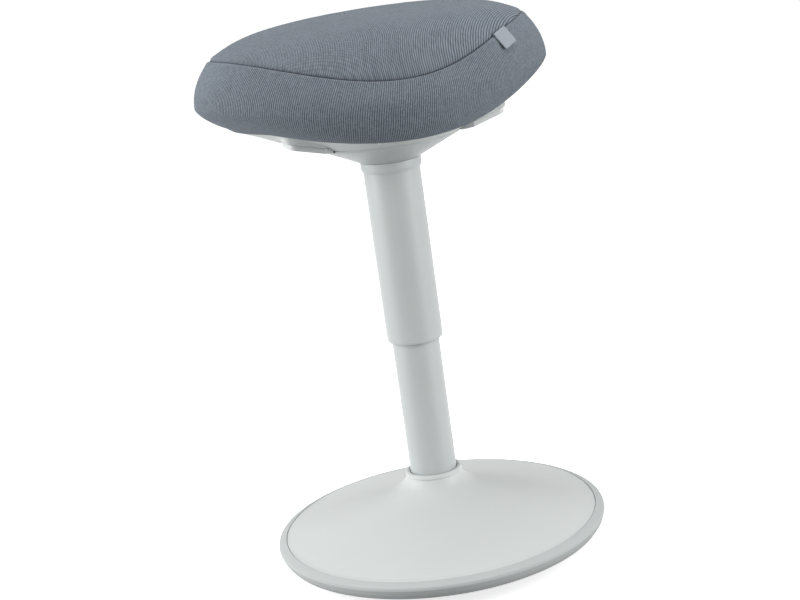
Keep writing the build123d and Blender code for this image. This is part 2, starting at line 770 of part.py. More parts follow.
def under_dish(dish):
    """What lies under the shell's dish."""
    height = shell_top_z - shell_root_z
    return Pos(0, 0, shell_root_z + height / 2) * Box(4 * seat_half_width, 4 * seat_half_depth, height) - dish


def make_shell_screws():
    screws = []
    for place in shell_screw_places():
        top = shell_height(place) + shell_screw_head_h
        screw = ring(0, shell_screw_head_r, top - shell_screw_head_h, top)
        screws.append(place * (screw + ring(0, shell_screw_r, top, shell_screw_end_z)))
    return group(screws)


def make_side_label():
    """A bare fabric tab that lies against the side band, square to it where it is sewn on."""
    t = radians(label_angle)
    line = Axis((0, 0, label_z), (cos(t), sin(t), 0))
    hits = cushion_wall().find_intersection_points(line)
    point, normal = max(hits, key=lambda hit: (hit[0] - line.position).dot(line.direction))
    along = Vector(0, 0, 1).cross(normal)
    plane = Plane(origin=point + normal * (label_thk / 2 + label_gap), x_dir=along, z_dir=normal)
    return plane * Box(label_w, label_l, label_thk)


# ---- write every piece --------------------------------------------------------------------------
def make_parts():
    top_panel, side_band = make_cover()
    paddle = make_release_paddle_right()
    return {
        "rocker_tread": make_rocker_tread(),
        "base_tray": make_base_tray(),
        "ballast_plate": make_ballast_plate(),
        "rim_ring": make_rim_ring(),
        "base_cover": make_base_cover(),
        "cover_screws": make_cover_screws(),
        "stand_flange": make_stand_flange(),
        "column_bolts": make_column_bolts(),
        "stand_tube": make_stand_tube(),
        "stand_tube_bush": make_stand_tube_bush(),
        "anchor_plate": make_anchor_plate(),
        "thrust_race_lower": make_thrust_race_lower(),
        "thrust_race_upper": make_thrust_race_upper(),
        "thrust_balls": make_thrust_balls(),
        "ball_cage": make_ball_cage(),
        "retaining_clip": make_retaining_clip(),
        "piston_rod": make_piston_rod(),
        "piston_head": make_piston_head(),
        "rubber_bumper": make_rubber_bumper(),
        "gas_cylinder": make_gas_cylinder(),
        "cylinder_end_seal": make_cylinder_end_seal(),
        "valve_pin": make_valve_pin(),
        "presser_cap": make_presser_cap(),
        "column_sleeve": make_column_sleeve(),
        "sleeve_glide_ring": make_sleeve_glide_ring(),
        "sleeve_collar": make_sleeve_collar(),
        "hub_cover": make_hub_cover(),
        "taper_socket": make_taper_socket(),
        "mechanism_plate": make_mechanism_plate(),
        "mechanism_bolts": make_mechanism_bolts(),
        "lever_pins": make_lever_pins(),
        "release_paddle_right": paddle,
        "release_paddle_left": mirrored(paddle),
        "seat_shell": make_seat_shell(),
        "shell_screws": make_shell_screws(),
        "seat_board": make_seat_board(),
        "tee_nuts": make_tee_nuts(),
        "seat_foam": make_seat_foam(),
        "cover_top_panel": top_panel,
        "cover_side_band": side_band,
        "cover_staples": make_cover_staples(),
        "side_label": make_side_label(),
    }


if __name__ == "__main__":
    os.makedirs("parts", exist_ok=True)
    for name, shape in make_parts().items():
        export_step(shape, f"parts/{name}.step")
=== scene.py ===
"""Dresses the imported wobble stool: an egg-shaped padded seat on a gas-sprung column over a rocking foot."""

import json
import logging
import math
from contextlib import contextmanager
from dataclasses import dataclass
from enum import Enum
from typing import Callable, Iterator, Optional, Protocol, Sequence

import bmesh
import bpy
from mathutils import Matrix, Vector, noise
from mathutils.bvhtree import BVHTree


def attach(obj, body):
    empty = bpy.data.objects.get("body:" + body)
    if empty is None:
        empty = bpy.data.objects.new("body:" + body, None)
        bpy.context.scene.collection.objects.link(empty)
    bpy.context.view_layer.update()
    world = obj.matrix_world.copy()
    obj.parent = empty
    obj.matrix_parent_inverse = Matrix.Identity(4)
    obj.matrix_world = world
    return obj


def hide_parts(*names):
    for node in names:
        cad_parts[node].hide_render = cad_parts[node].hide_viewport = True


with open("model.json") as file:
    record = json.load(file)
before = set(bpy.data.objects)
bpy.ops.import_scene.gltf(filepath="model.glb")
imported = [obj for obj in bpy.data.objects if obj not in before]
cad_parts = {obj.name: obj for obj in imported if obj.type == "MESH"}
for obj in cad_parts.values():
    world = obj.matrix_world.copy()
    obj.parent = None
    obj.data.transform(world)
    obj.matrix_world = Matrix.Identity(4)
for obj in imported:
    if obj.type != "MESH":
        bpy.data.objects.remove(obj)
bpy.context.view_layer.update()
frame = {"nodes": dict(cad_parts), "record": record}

MM = 0.001
FULL_TURN = 2 * math.pi
NOISE_LOW, NOISE_HIGH = 0.3, 0.7  # nearly all of a noise texture's values lie between these
log = logging.getLogger("stool")

Outline = list[tuple[float, float]]
Object = bpy.types.Object
Material = bpy.types.Material
Socket = bpy.types.NodeSocket
Colour = tuple[float, float, float]


class Body(Enum):
    """The moving bodies of the stool."""

    BASE = "base"
    SEAT = "seat"
    PADDLE_LEFT = "paddle_left"
    PADDLE_RIGHT = "paddle_right"


def linear(red: int, green: int, blue: int) -> Colour:
    """Turns a screen colour of 0 to 255 into linear light."""

    def channel(value: int) -> float:
        """Undoes the screen's curve for one channel."""
        share = value / 255
        return share / 12.92 if share <= 0.04045 else ((share + 0.055) / 1.055) ** 2.4

    return (channel(red), channel(green), channel(blue))


def smooth_step(low: float, high: float, value: float) -> float:
    """Runs smoothly from 0 at low to 1 at high."""
    share = min(1.0, max(0.0, (value - low) / (high - low)))
    return share * share * (3 - 2 * share)


# ---- finishes ----------------------------------------------------------------------------------
class Finish(Protocol):
    """Anything that a piece can be dressed in."""

    @property
    def name(self) -> str:
        """Name of the material."""

    def material(self) -> Material:
        """Builds the material."""


class Wiring:
    """A node tree, with short calls to grow it."""

    def __init__(self, tree: bpy.types.NodeTree) -> None:
        """Empties the tree."""
        self.tree = tree
        tree.nodes.clear()

    def node(self, kind: str, **settings: object) -> bpy.types.Node:
        """Adds a node and sets its plain properties."""
        made = self.tree.nodes.new("ShaderNode" + kind)
        for key, value in settings.items():
            setattr(made, key, value)
        return made

    def put(self, target: Socket, value: object) -> None:
        """Links a socket to another one, or sets its number."""
        if isinstance(value, bpy.types.NodeSocket):
            self.tree.links.new(value, target)
        else:
            target.default_value = value

    def fed(self, kind: str, *values: object, **settings: object) -> Socket:
        """Adds a node and feeds its inputs in order."""
        made = self.node(kind, **settings)
        for socket, value in zip(made.inputs, values):
            self.put(socket, value)
        return made.outputs[0]

    def math(self, operation: str, *values: object) -> Socket:
        """Adds a math node for an operation on sockets or numbers."""
        return self.fed("Math", *values, operation=operation)


class NodeSheet(Wiring):
    """A material's node tree round a principled shader."""

    def __init__(self, name: str) -> None:
        """Starts a material with its shader."""
        self.material = bpy.data.materials.new(name)
        self.material.use_nodes = True
        super().__init__(self.material.node_tree)
        self.shader = self.node("BsdfPrincipled")
        self.put(self.node("OutputMaterial").inputs["Surface"], self.shader.outputs["BSDF"])

    def place(self, stretch: Sequence[float] = (1, 1, 1)) -> Socket:
        """Object coordinates for a pattern."""
        source = self.node("TexCoord").outputs["Object"]
        mapping = self.node("Mapping")
        self.put(mapping.inputs["Vector"], source)
        mapping.inputs["Scale"].default_value = stretch
        return mapping.outputs["Vector"]

    def noise(self, where: Socket, scale: float, detail: float = 3.0, rough: float = 0.5) -> Socket:
        """Adds a noise texture."""
        made = self.node("TexNoise")
        self.put(made.inputs["Vector"], where)
        made.inputs["Scale"].default_value = scale
        made.inputs["Detail"].default_value = detail
        made.inputs["Roughness"].default_value = rough
        return made.outputs[0]

    def ramp(self, source: Socket, *stops: tuple[float, Colour]) -> Socket:
        """Adds a colour ramp.

        Args:
            source: What the ramp reads.
            *stops: Places and colours.

        Returns:
            The ramp's colour.
        """
        made = self.node("ValToRGB")
        self.put(made.inputs[0], source)
        elements = made.color_ramp.elements
        while len(elements) < len(stops):
            elements.new(1.0)
        for element, (place, colour) in zip(elements, stops):
            element.position = place
            element.color = (*colour, 1.0)
        return made.outputs[0]

    def spread(self, source: Socket, low: float, high: float, new_low: float, new_high: float) -> Socket:
        """Adds a clamped map from one range to another."""
        return self.fed("MapRange", source, low, high, new_low, new_high)

    def blend(self, share: object, first: object, second: object) -> Socket:
        """Mixes two colours."""
        made = self.node("Mix", data_type="RGBA")
        self.put(made.inputs[0], share)
        self.put(made.inputs[6], first if isinstance(first, bpy.types.NodeSocket) else (*first, 1.0))
        self.put(made.inputs[7], second if isinstance(second, bpy.types.NodeSocket) else (*second, 1.0))
        return made.outputs[2]

    def bump(
        self, height: Socket, depth: float, strength: float = 1.0, under: Optional[Socket] = None
    ) -> Socket:
        """Adds a bump node."""
        made = self.node("Bump")
        made.inputs["Strength"].default_value = strength
        made.inputs["Distance"].default_value = depth
        self.put(made.inputs["Height"], height)
        if under is not None:
            self.put(made.inputs["Normal"], under)
        return made.outputs[0]

    def hump(self, place: Socket, power: float) -> Socket:
        """A rounded rise over every whole step of a place, from 0 at its edges to 1 in its middle."""
        across = self.math("SUBTRACT", self.math("FRACT", place), 0.5)
        edge = self.math("ABSOLUTE", self.math("MULTIPLY", across, 2.0))
        return self.math("SUBTRACT", 1.0, self.math("POWER", edge, power))

    def swing(self, factor: Socket, amount: float, base: Socket) -> Socket:
        """Adds a factor's swing about its middle to a base."""
        return self.math("MULTIPLY_ADD", self.math("SUBTRACT", factor, 0.5), amount, base)

    def weave(self) -> tuple[Socket, Socket, Socket]:
        """The piece's own map of its cloth, and the map's runs across the ribs and along them."""
        uv = self.node("UVMap", uv_map="weave").outputs["UV"]
        parts = self.node("SeparateXYZ")
        self.put(parts.inputs[0], uv)
        return uv, parts.outputs[0], parts.outputs[1]

    def set(self, **sockets: object) -> None:
        """Sets the shader's own sockets."""
        for key, value in sockets.items():
            socket = self.shader.inputs[key.replace("_", " ")]
            if isinstance(value, tuple) and len(value) == 3 and socket.type == "RGBA":
                value = (*value, 1.0)
            self.put(socket, value)


@dataclass(frozen=True)
class Coating:
    """Paint, moulded plastic or rubber: one colour with a fine surface grain."""

    name: str
    colour: Colour
    roughness: float = 0.45
    grain: float = 900.0  # grains to a metre
    grain_depth: float = 0.00006
    grain_strength: float = 0.25
    mottle: float = 0.03  # how far the tone wanders
    dust: float = 0.05  # how far the roughness wanders
    gloss: float = 0.5
    cloud_scale: float = 14.0  # clouds of tone to a metre
    smear_scale: float = 45.0  # smears of gloss to a metre
    wave_width: float = 9.0  # the slow wave under the grain is this much wider
    wave_depth: float = 3.0  # and this much deeper and softer

    def material(self) -> Material:
        """Builds the coating."""
        sheet = NodeSheet(self.name)
        where = sheet.place()
        cloud = sheet.spread(sheet.noise(where, self.cloud_scale, 4.0), NOISE_LOW, NOISE_HIGH, 0.0, 1.0)
        darker = tuple(c * (1 - self.mottle) for c in self.colour)
        lighter = tuple(min(1.0, c * (1 + self.mottle)) for c in self.colour)
        sheet.set(Base_Color=sheet.blend(cloud, darker, lighter), Specular_IOR_Level=self.gloss)
        smear = sheet.noise(where, self.smear_scale, 5.0, 0.6)
        low, high = self.roughness - self.dust, self.roughness + self.dust
        sheet.set(Roughness=sheet.spread(smear, NOISE_LOW, NOISE_HIGH, low, high))
        swell = sheet.noise(where, self.grain / self.wave_width, 1.0)
        depth, strength = self.grain_depth * self.wave_depth, self.grain_strength / self.wave_depth
        wave = sheet.bump(swell, depth, strength)
        peel = sheet.noise(where, self.grain, 2.0)
        sheet.set(Normal=sheet.bump(peel, self.grain_depth, self.grain_strength, wave))
        return sheet.material


@dataclass(frozen=True)
class RibbedCloth:
    """Upholstery woven in fine ribs of short stitches, laid along the piece's own map."""

    name: str
    # groove is painted shade between the ribs and light a painted highlight on their tops; thread is the
    # yarn's own tone
    groove: Colour
    thread: Colour
    light: Colour
    rib: float = 0.0021  # pitch of the ribs, metres
    stitch: float = 0.0017  # length of a stitch, metres
    drift: float = 0.0012  # how far a rib wanders sideways, metres
    drift_scale: float = 60.0
    row_step: float = 0.37  # how much later each rib's stitches begin than its neighbour's
    rib_flat: float = 2.2  # how flat a rib's top is
    stitch_flat: float = 3.0
    stitch_share: float = 0.3  # part of a rib's height that its stitches shape
    yarn: float = 0.2  # how far the tone changes from stitch to stitch
    fuzz: float = 0.25  # how far the yarn's fuzz changes it
    fuzz_scale: float = 2600.0
    wear: float = 0.16  # how light the rubbed places are
    wear_scale: float = 22.0
    seam_layer: str = "seam"
    seam_narrow: float = 2.2  # draws the seam's shadow in to a thin line
    seam_share: float = 0.95
    seam_line_shade: float = 0.22  # tone of the seam's line against the groove's: painted shade in the crease over the thread's own dark colour
    relief: float = 0.0005  # depth of the weave, metres
    relief_strength: float = 0.75
    fuzz_relief: float = 0.0002

    def material(self) -> Material:
        """Builds the cloth."""
        sheet = NodeSheet(self.name)
        uv, across, along = sheet.weave()
        shifted = sheet.swing(sheet.noise(uv, self.drift_scale, 2.0), self.drift, across)
        column = sheet.math("DIVIDE", shifted, self.rib)
        number = sheet.math("FLOOR", column)
        step = sheet.math("MULTIPLY", number, self.row_step)
        row = sheet.math("ADD", sheet.math("DIVIDE", along, self.stitch), step)
        stitches = sheet.hump(row, self.stitch_flat)
        shaped = sheet.math("MULTIPLY_ADD", stitches, self.stitch_share, 1 - self.stitch_share)
        height = sheet.math("MULTIPLY", sheet.hump(column, self.rib_flat), shaped)
        cell = sheet.fed("CombineXYZ", number, sheet.math("FLOOR", row))
        random = sheet.node("TexWhiteNoise", noise_dimensions="2D")
        sheet.put(random.inputs["Vector"], cell)
        fuzz = sheet.noise(uv, self.fuzz_scale, 2.0)
        tone = sheet.swing(fuzz, self.fuzz, sheet.swing(random.outputs["Value"], self.yarn, height))
        # the ribs' tone runs from painted shade in the grooves to a painted highlight on their tops
        cloth = sheet.ramp(tone, (0.0, self.groove), (0.5, self.thread), (1.0, self.light))
        rubbed = sheet.spread(sheet.noise(uv, self.wear_scale, 3.0), NOISE_LOW, 0.75, 0.0, self.wear)
        worn = sheet.blend(rubbed, cloth, self.light)
        # the seam's line is darkened: painted shade in its crease, with the thread's own dark colour
        seam = sheet.node("Attribute", attribute_name=self.seam_layer).outputs["Fac"]
        thin = sheet.math("MULTIPLY", sheet.math("POWER", seam, self.seam_narrow), self.seam_share)
        sheet.set(Base_Color=sheet.blend(thin, worn, tuple(c * self.seam_line_shade for c in self.groove)))
        sheet.set(Roughness=sheet.spread(height, 0.0, 1.0, 0.95, 0.78), Specular_IOR_Level=0.25)
        sheet.set(Sheen_Weight=0.16, Sheen_Roughness=0.45, Sheen_Tint=(0.80, 0.86, 0.94))
        fine = sheet.bump(fuzz, self.fuzz_relief, 0.25)
        sheet.set(Normal=sheet.bump(height, self.relief, self.relief_strength, fine))
        return sheet.material


@dataclass(frozen=True)
class TapeWeave:
    """A narrow woven tape with fine cross ribs, left bare."""

    name: str
    colour: Colour
    rib: float = 0.0007  # pitch across, metres
    squat: float = 0.8  # the pitch along is this much of it
    fleck: float = 0.4  # part of the tone that comes from flecks
    shade: float = 0.72  # painted shade in the grooves between the tape's ribs
    relief: float = 0.00012

    def material(self) -> Material:
        """Builds the tape."""
        sheet = NodeSheet(self.name)
        uv, *runs = sheet.weave()
        pitches = (self.rib, self.rib * self.squat)
        turns = [sheet.math("MULTIPLY", run, FULL_TURN / pitch) for run, pitch in zip(runs, pitches)]
        waves = [sheet.math("SINE", turn) for turn in turns]
        height = sheet.spread(sheet.math("MULTIPLY", *waves), -1.0, 1.0, 0.0, 1.0)
        woven = sheet.math("MULTIPLY", height, 1 - self.fleck)
        tone = sheet.math("MULTIPLY_ADD", sheet.noise(uv, 1500.0, 2.0), self.fleck, woven)
        # the tape's grooves get painted shade
        dark = tuple(c * self.shade for c in self.colour)
        sheet.set(Base_Color=sheet.ramp(tone, (0.1, dark), (0.8, self.colour)))
        sheet.set(Roughness=0.7, Sheen_Weight=0.2, Sheen_Roughness=0.4)
        sheet.set(Normal=sheet.bump(height, self.relief, 0.6))
        return sheet.material


@dataclass(frozen=True)
class Relief:
    """How a pattern is drawn: its depth in metres, its contrast and its texture."""

    depth: float
    contrast: float
    scale: float
    detail: float = 0.0
    rough: float = 0.5
    stretch: tuple[float, float, float] = (1, 1, 1)


class Grain(Enum):
    """Patterns of the hidden hardware's finishes."""

    BRUSHED = Relief(0.00002, 0.12, 300.0, 4.0, stretch=(1, 1, 24))
    CAST = Relief(0.0004, 0.35, 420.0, 6.0, 0.7)
    PLATED = Relief(0.00003, 0.18, 120.0, 5.0, 0.6)
    WOOD = Relief(0.00008, 0.3, 55.0, 3.0, stretch=(0.12, 1, 5))
    CELLS = Relief(0.0003, 0.2, 900.0)


@dataclass(frozen=True)
class Hardware:
    """Bare metal, wood or foam of the pieces inside."""

    name: str
    colour: Colour
    grain: Grain
    metallic: float = 1.0
    roughness: float = 0.35
    wood_bend: float = 9.0  # how far the wood's rings wander

    def material(self) -> Material:
        """Builds the finish."""
        sheet = NodeSheet(self.name)
        relief = self.grain.value
        where = sheet.place(relief.stretch)
        if self.grain is Grain.WOOD:
            rings = sheet.node("TexWave", wave_type="BANDS", bands_direction="Y")
            sheet.put(rings.inputs["Vector"], where)
            rings.inputs["Scale"].default_value = relief.scale
            rings.inputs["Distortion"].default_value = self.wood_bend
            rings.inputs["Detail"].default_value = relief.detail
            height = rings.outputs[1]
        elif self.grain is Grain.CELLS:
            cells = sheet.node("TexVoronoi")
            sheet.put(cells.inputs["Vector"], where)
            cells.inputs["Scale"].default_value = relief.scale
            height = cells.outputs[0]
        else:
            height = sheet.noise(where, relief.scale, relief.detail, relief.rough)
        dark = tuple(c * (1 - relief.contrast) for c in self.colour)
        sheet.set(Base_Color=sheet.ramp(height, (0.25, dark), (0.75, self.colour)), Metallic=self.metallic)
        sheet.set(Roughness=sheet.spread(height, 0.2, 0.8, self.roughness + 0.08, self.roughness - 0.05))
        sheet.set(Normal=sheet.bump(height, relief.depth, 0.6))
        return sheet.material


PALE_PAINT = Coating("satin powder coat", linear(213, 216, 214), 0.48, 1100, 0.00005, 0.22, 0.012)
# the base cover's pale powder coat set darker for the column: painted shade on the upright tube and sleeve
SHADED_COLUMN_PAINT = Coating("column powder coat with painted shade", linear(193, 198, 197), 0.42, 1100, 0.00005, 0.22, 0.012)
PALE_PLASTIC = Coating("pale satin moulding", linear(214, 217, 216), 0.5, 1500, 0.00004, 0.3, 0.015)
SHELL_PLASTIC = Coating("shell moulding", linear(208, 212, 211), 0.5, 1300, 0.00006, 0.35, 0.02)
# the shell's plastic set darker for the hub and the collar: painted shade under the seat
SHADED_HUB_PLASTIC = Coating("hub moulding with painted shade", linear(192, 197, 197), 0.46, 1300, 0.00006, 0.35, 0.02)
RING_RUBBER = Coating(
    "soft-touch rim rubber", linear(190, 194, 193), 0.66, 1600, 0.00006, 0.4, 0.02, 0.04, 0.35
)
TREAD_RUBBER = Coating("tread rubber", linear(128, 132, 134), 0.8, 1200, 0.00012, 0.6, 0.05, 0.06, 0.3)
TRAY_PLASTIC = Coating("tray moulding", linear(92, 95, 98), 0.6, 1400, 0.00008, 0.4, 0.03)
BLACK_PLASTIC = Coating("black moulding", linear(38, 39, 41), 0.5, 1500, 0.00006, 0.4, 0.05)
BLACK_PAINT = Coating("black enamel", linear(34, 35, 37), 0.35, 700, 0.00006, 0.3, 0.05)
BLACK_RUBBER = Coating("black rubber", linear(30, 30, 31), 0.8, 1500, 0.0001, 0.5, 0.05, 0.05, 0.3)
NYLON = Coating("natural nylon", linear(225, 224, 214), 0.4, 900, 0.00004, 0.2, 0.03)
# its three tones: painted shade in the grooves, the yarn's own tone, a painted highlight on the rib tops
SEAT_CLOTH = RibbedCloth(
    "ribbed seat cloth", linear(41, 48, 56), linear(87, 95, 104), linear(136, 144, 152)
)
TAB_TAPE = TapeWeave("bare side tape", linear(158, 165, 173))
ZINC = Hardware("zinc plate", (0.62, 0.63, 0.62), Grain.PLATED)
CHROME = Hardware("hard chrome", (0.82, 0.82, 0.84), Grain.BRUSHED, roughness=0.16)
IRON = Hardware("oiled cast iron", (0.10, 0.10, 0.105), Grain.CAST, 0.85, 0.6)
BIRCH = Hardware("birch plywood", linear(206, 176, 132), Grain.WOOD, 0.0, 0.62)
FOAM = Hardware("seat foam", linear(226, 216, 184), Grain.CELLS, 0.0, 0.9)

CAD_FINISHES: dict[str, Finish] = {
    "rubber_grey": TREAD_RUBBER,
    "pale_paint": SHADED_COLUMN_PAINT,
    "pale_plastic": PALE_PLASTIC,
    "shell_plastic": SHELL_PLASTIC,
    "tray_plastic": TRAY_PLASTIC,
    "cast_iron": IRON,
    "zinc_steel": ZINC,
    "bright_steel": CHROME,
    "black_steel": BLACK_PAINT,
    "black_rubber": BLACK_RUBBER,
    "nylon": NYLON,
    "black_plastic": BLACK_PLASTIC,
    "plywood": BIRCH,
    "foam": FOAM,
    "seat_fabric": SEAT_CLOTH,
    "label_fabric": TAB_TAPE,
}

NODE_FINISHES: dict[str, Finish] = {"shell_screws": SHELL_PLASTIC}  # their heads are lacquered to match


class Wardrobe:
    """Builds each finish once and hands it out."""

    def __init__(self) -> None:
        """Starts with no material built."""
        self.built: dict[str, Material] = {}

    def dress(self, piece: Object, finish: Finish) -> None:
        """Gives a piece one finish."""
        if finish.name not in self.built:
            self.built[finish.name] = finish.material()
        piece.data.materials.clear()
        piece.data.materials.append(self.built[finish.name])


# ---- workbench ---------------------------------------------------------------------------------
def clear_selection() -> None:
    """Deselects everything, so that an operator acts on the new piece alone."""
    for item in bpy.context.selected_objects:
        item.select_set(False)
    bpy.context.view_layer.objects.active = None


def pick(piece: Object) -> None:
    """Selects one piece and makes it active."""
    clear_selection()
    piece.select_set(True)
    bpy.context.view_layer.objects.active = piece


def apply_modifiers(piece: Object) -> None:
    """Applies all of a piece's modifiers in order."""
    pick(piece)
    for modifier in list(piece.modifiers):
        bpy.ops.object.modifier_apply(modifier=modifier.name)


@contextmanager
def open_mesh() -> Iterator[None]:
    """Opens the active mesh with all of it selected, and closes it afterwards."""
    bpy.ops.object.mode_set(mode="EDIT")
    bpy.ops.mesh.select_all(action="SELECT")
    yield
    bpy.ops.object.mode_set(mode="OBJECT")


def add_object(name: str, data: bpy.types.ID) -> Object:
    """Puts a mesh, lens or light on the scene."""
    made = bpy.data.objects.new(name, data)
    bpy.context.scene.collection.objects.link(made)
    return made


def smooth(piece: Object, angle: float = 35.0) -> Object:
    """Shades a piece smooth up to an angle."""
    pick(piece)
    bpy.ops.object.shade_smooth_by_angle(angle=math.radians(angle))
    return piece


def bevel(piece: Object, width: float, segments: int, angle: float) -> None:
    """Rounds a piece's sharp edges."""
    modifier = piece.modifiers.new("rounding", "BEVEL")
    modifier.width = width
    modifier.segments = segments
    modifier.limit_method = "ANGLE"
    modifier.angle_limit = math.radians(angle)
    modifier.harden_normals = False
    apply_modifiers(piece)


class Carving(Enum):
    """What a tool does to a piece."""

    CUT = "DIFFERENCE"
    JOIN = "UNION"


def carve(piece: Object, tool: Object, carving: Carving) -> None:
    """Cuts a piece with a tool, or joins the two, and throws the tool away."""
    modifier = piece.modifiers.new("cut", "BOOLEAN")
    modifier.operation = carving.value
    modifier.solver = "EXACT"
    modifier.object = tool
    apply_modifiers(piece)
    bpy.data.objects.remove(tool)


@dataclass(frozen=True)
class Corner:
    """A corner of a section in millimetres, with the radius it is rounded to."""

    r: float
    z: float
    radius: float = 0.0


def rounded(corners: Sequence[Corner], steps: int) -> Outline:
    """Rounds the corners of a closed section.

    Args:
        corners: The corners in order.
        steps: Steps of each rounding.

    Returns:
        Points in metres.
    """
    count = len(corners)
    points: Outline = []
    for i, corner in enumerate(corners):
        here = Vector((corner.r, corner.z))
        if corner.radius <= 0:
            points.append((here.x * MM, here.y * MM))
            continue
        before, after = corners[i - 1], corners[(i + 1) % count]
        back = (Vector((before.r, before.z)) - here).normalized()
        ahead = (Vector((after.r, after.z)) - here).normalized()
        turn = math.pi - math.acos(max(-1.0, min(1.0, back.dot(ahead))))
        reach = corner.radius * math.tan(turn / 2)
        start, end = here + back * reach, here + ahead * reach
        middle = (back + ahead).normalized()
        centre = here + middle * (corner.radius / max(1e-6, math.cos(turn / 2)))
        first = start - centre
        sweep = turn if first.x * (end - centre).y - first.y * (end - centre).x > 0 else -turn
        for k in range(steps + 1):
            angle = sweep * k / steps
            x = first.x * math.cos(angle) - first.y * math.sin(angle)
            y = first.x * math.sin(angle) + first.y * math.cos(angle)
            points.append(((centre.x + x) * MM, (centre.y + y) * MM))
    return points


def flowing(
    points: Sequence[tuple[float, float]],
    leave: tuple[float, float],
    arrive: tuple[float, float],
    steps: int,
) -> list[Corner]:
    """A smooth line through points, leaving and arriving in set directions.

    Args:
        points: Points in millimetres.
        leave: Direction at the first point.
        arrive: Direction at the last point.
        steps: Steps in each stretch.

    Returns:
        Corners without rounding, the first and last points included.
    """
    places = [Vector(p) for p in points]
    slopes = [Vector(leave).normalized()]
    for before, after in zip(places, places[2:]):
        slopes.append((after - before).normalized())
    slopes.append(Vector(arrive).normalized())
    line = [Corner(*places[0])]
    for a, b, start, end in zip(places, places[1:], slopes, slopes[1:]):
        reach = (b - a).length
        for k in range(1, steps + 1):
            s = k / steps
            spot = (
                a * (2 * s**3 - 3 * s**2 + 1)
                + start * reach * (s**3 - 2 * s**2 + s)
                + b * (3 * s**2 - 2 * s**3)
                + end * reach * (s**3 - s**2)
            )
            line.append(Corner(*spot))
    return line


def turn_on_lathe(name: str, outline: Outline, steps: int) -> Object:
    """Draws an outline point by point and spins it about the column's axis.

    Args:
        name: Name of the piece.
        outline: Closed section as radius and height, in metres.
        steps: Steps of the spin.

    Returns:
        The closed piece.
    """
    clear_selection()
    bpy.ops.mesh.primitive_plane_add(size=0.01)
    piece = bpy.context.object
    piece.name = name
    with open_mesh():
        bpy.ops.mesh.merge(type="CENTER")
    mesh = bmesh.new()
    mesh.from_mesh(piece.data)
    mesh.verts.ensure_lookup_table()
    last = first = mesh.verts[0]
    first.co = (outline[0][0], 0, outline[0][1])
    for r, z in outline[1:]:
        spot = mesh.verts.new((r, 0, z))
        mesh.edges.new((last, spot))
        last = spot
    mesh.edges.new((last, first))
    mesh.to_mesh(piece.data)
    mesh.free()
    with open_mesh():
        bpy.ops.mesh.spin(steps=steps, angle=FULL_TURN, center=(0, 0, 0), axis=(0, 0, 1))
        bpy.ops.mesh.select_all(action="SELECT")
        bpy.ops.mesh.remove_doubles(threshold=1e-6)
        bpy.ops.mesh.normals_make_consistent(inside=False)
    return piece


def round_peg(radius: float, low: float, high: float, at: tuple[float, float]) -> Object:
    """A plain upright cutter."""
    clear_selection()
    place = (at[0] * MM, at[1] * MM, (low + high) / 2 * MM)
    tall = (high - low) * MM
    bpy.ops.mesh.primitive_cylinder_add(vertices=32, radius=radius * MM, depth=tall, location=place)
    bpy.ops.object.transform_apply(location=True)
    return bpy.context.object


def softened_copy(node: str, name: str, width: float, segments: int = 2) -> Object:
    """Copies a CAD node, merges its triangles and rounds its sharp edges.

    Args:
        node: The CAD node.
        name: Name of the copy.
        width: Width of the rounding in millimetres.
        segments: Steps of the rounding.

    Returns:
        The copy.
    """
    sharp = 40.0  # edges sharper than this many degrees are rounded
    piece = add_object(name, frame["nodes"][node].data.copy())
    pick(piece)
    with open_mesh():
        bpy.ops.mesh.remove_doubles(threshold=2e-6)
        bpy.ops.mesh.dissolve_limited(angle_limit=math.radians(0.5))
    if width > 0:
        bevel(piece, width * MM, segments, sharp)
    return piece


# ---- the dressed stool -------------------------------------------------------------------------
class SubAssembly:
    """Shared by the stool's sub-assemblies: keeps the wardrobe and settles finished pieces."""

    def __init__(self, wardrobe: Wardrobe) -> None:
        """Remembers where the finishes come from."""
        self.wardrobe = wardrobe

    def settle(self, piece: Object, body: Body, slot: str, finish: Finish, *nodes: str) -> Object:
        """Dresses a piece, puts it on its body and hides the CAD nodes that it stands for."""
        self.wardrobe.dress(piece, finish)
        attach(piece, body.value)
        for node in nodes:
            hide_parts(node)
        log.info("%s: %d faces on %s", piece.name, len(piece.data.polygons), body.value)
        return piece


@dataclass(frozen=True)
class FootSizes:
    """Sizes of the rocking foot in millimetres."""

    outer_r: float = 178.2
    cover_r: float = 168.5
    seat_r: float = 162.0
    ledge_z: float = 35.0
    cover_z: float = 38.0
    flare: tuple[tuple[float, float], ...] = ((62.0, 67.0), (30.2, 89.2))
    lip: tuple[Corner, ...] = (
        Corner(29.7, 90.6, 1.0),
        Corner(30.7, 91.9, 1.2),
        Corner(30.1, 95.0, 1.8),
        Corner(27.6, 95.6, 1.4),
        Corner(25.9, 94.9, 0.8),
        Corner(25.3, 92.6, 0.5),
        Corner(25.3, 84.2),
    )
    inner: tuple[tuple[float, float], ...] = ((28.4, 84.2), (60.75, 64.5), (157.5, 37.5))
    screws: int = 3
    screw_circle: float = 148.0
    screw_r: float = 3.8
    screw_clear: float = 7.0  # no groove comes this near to the screws' circle
    flat_r: float = 60.0
    rise: float = 18.0
    tread: float = 4.0
    tread_steps: int = 24
    grooves: range = range(14, 158, 9)  # inner edges of the tread's rings
    groove: tuple[tuple[float, float], ...] = ((0, 0), (0.5, 0.7), (1.7, 0.7), (2.2, 0))  # run and depth
    tip_r: float = 0.02  # the tread's two faces end this near to the axis


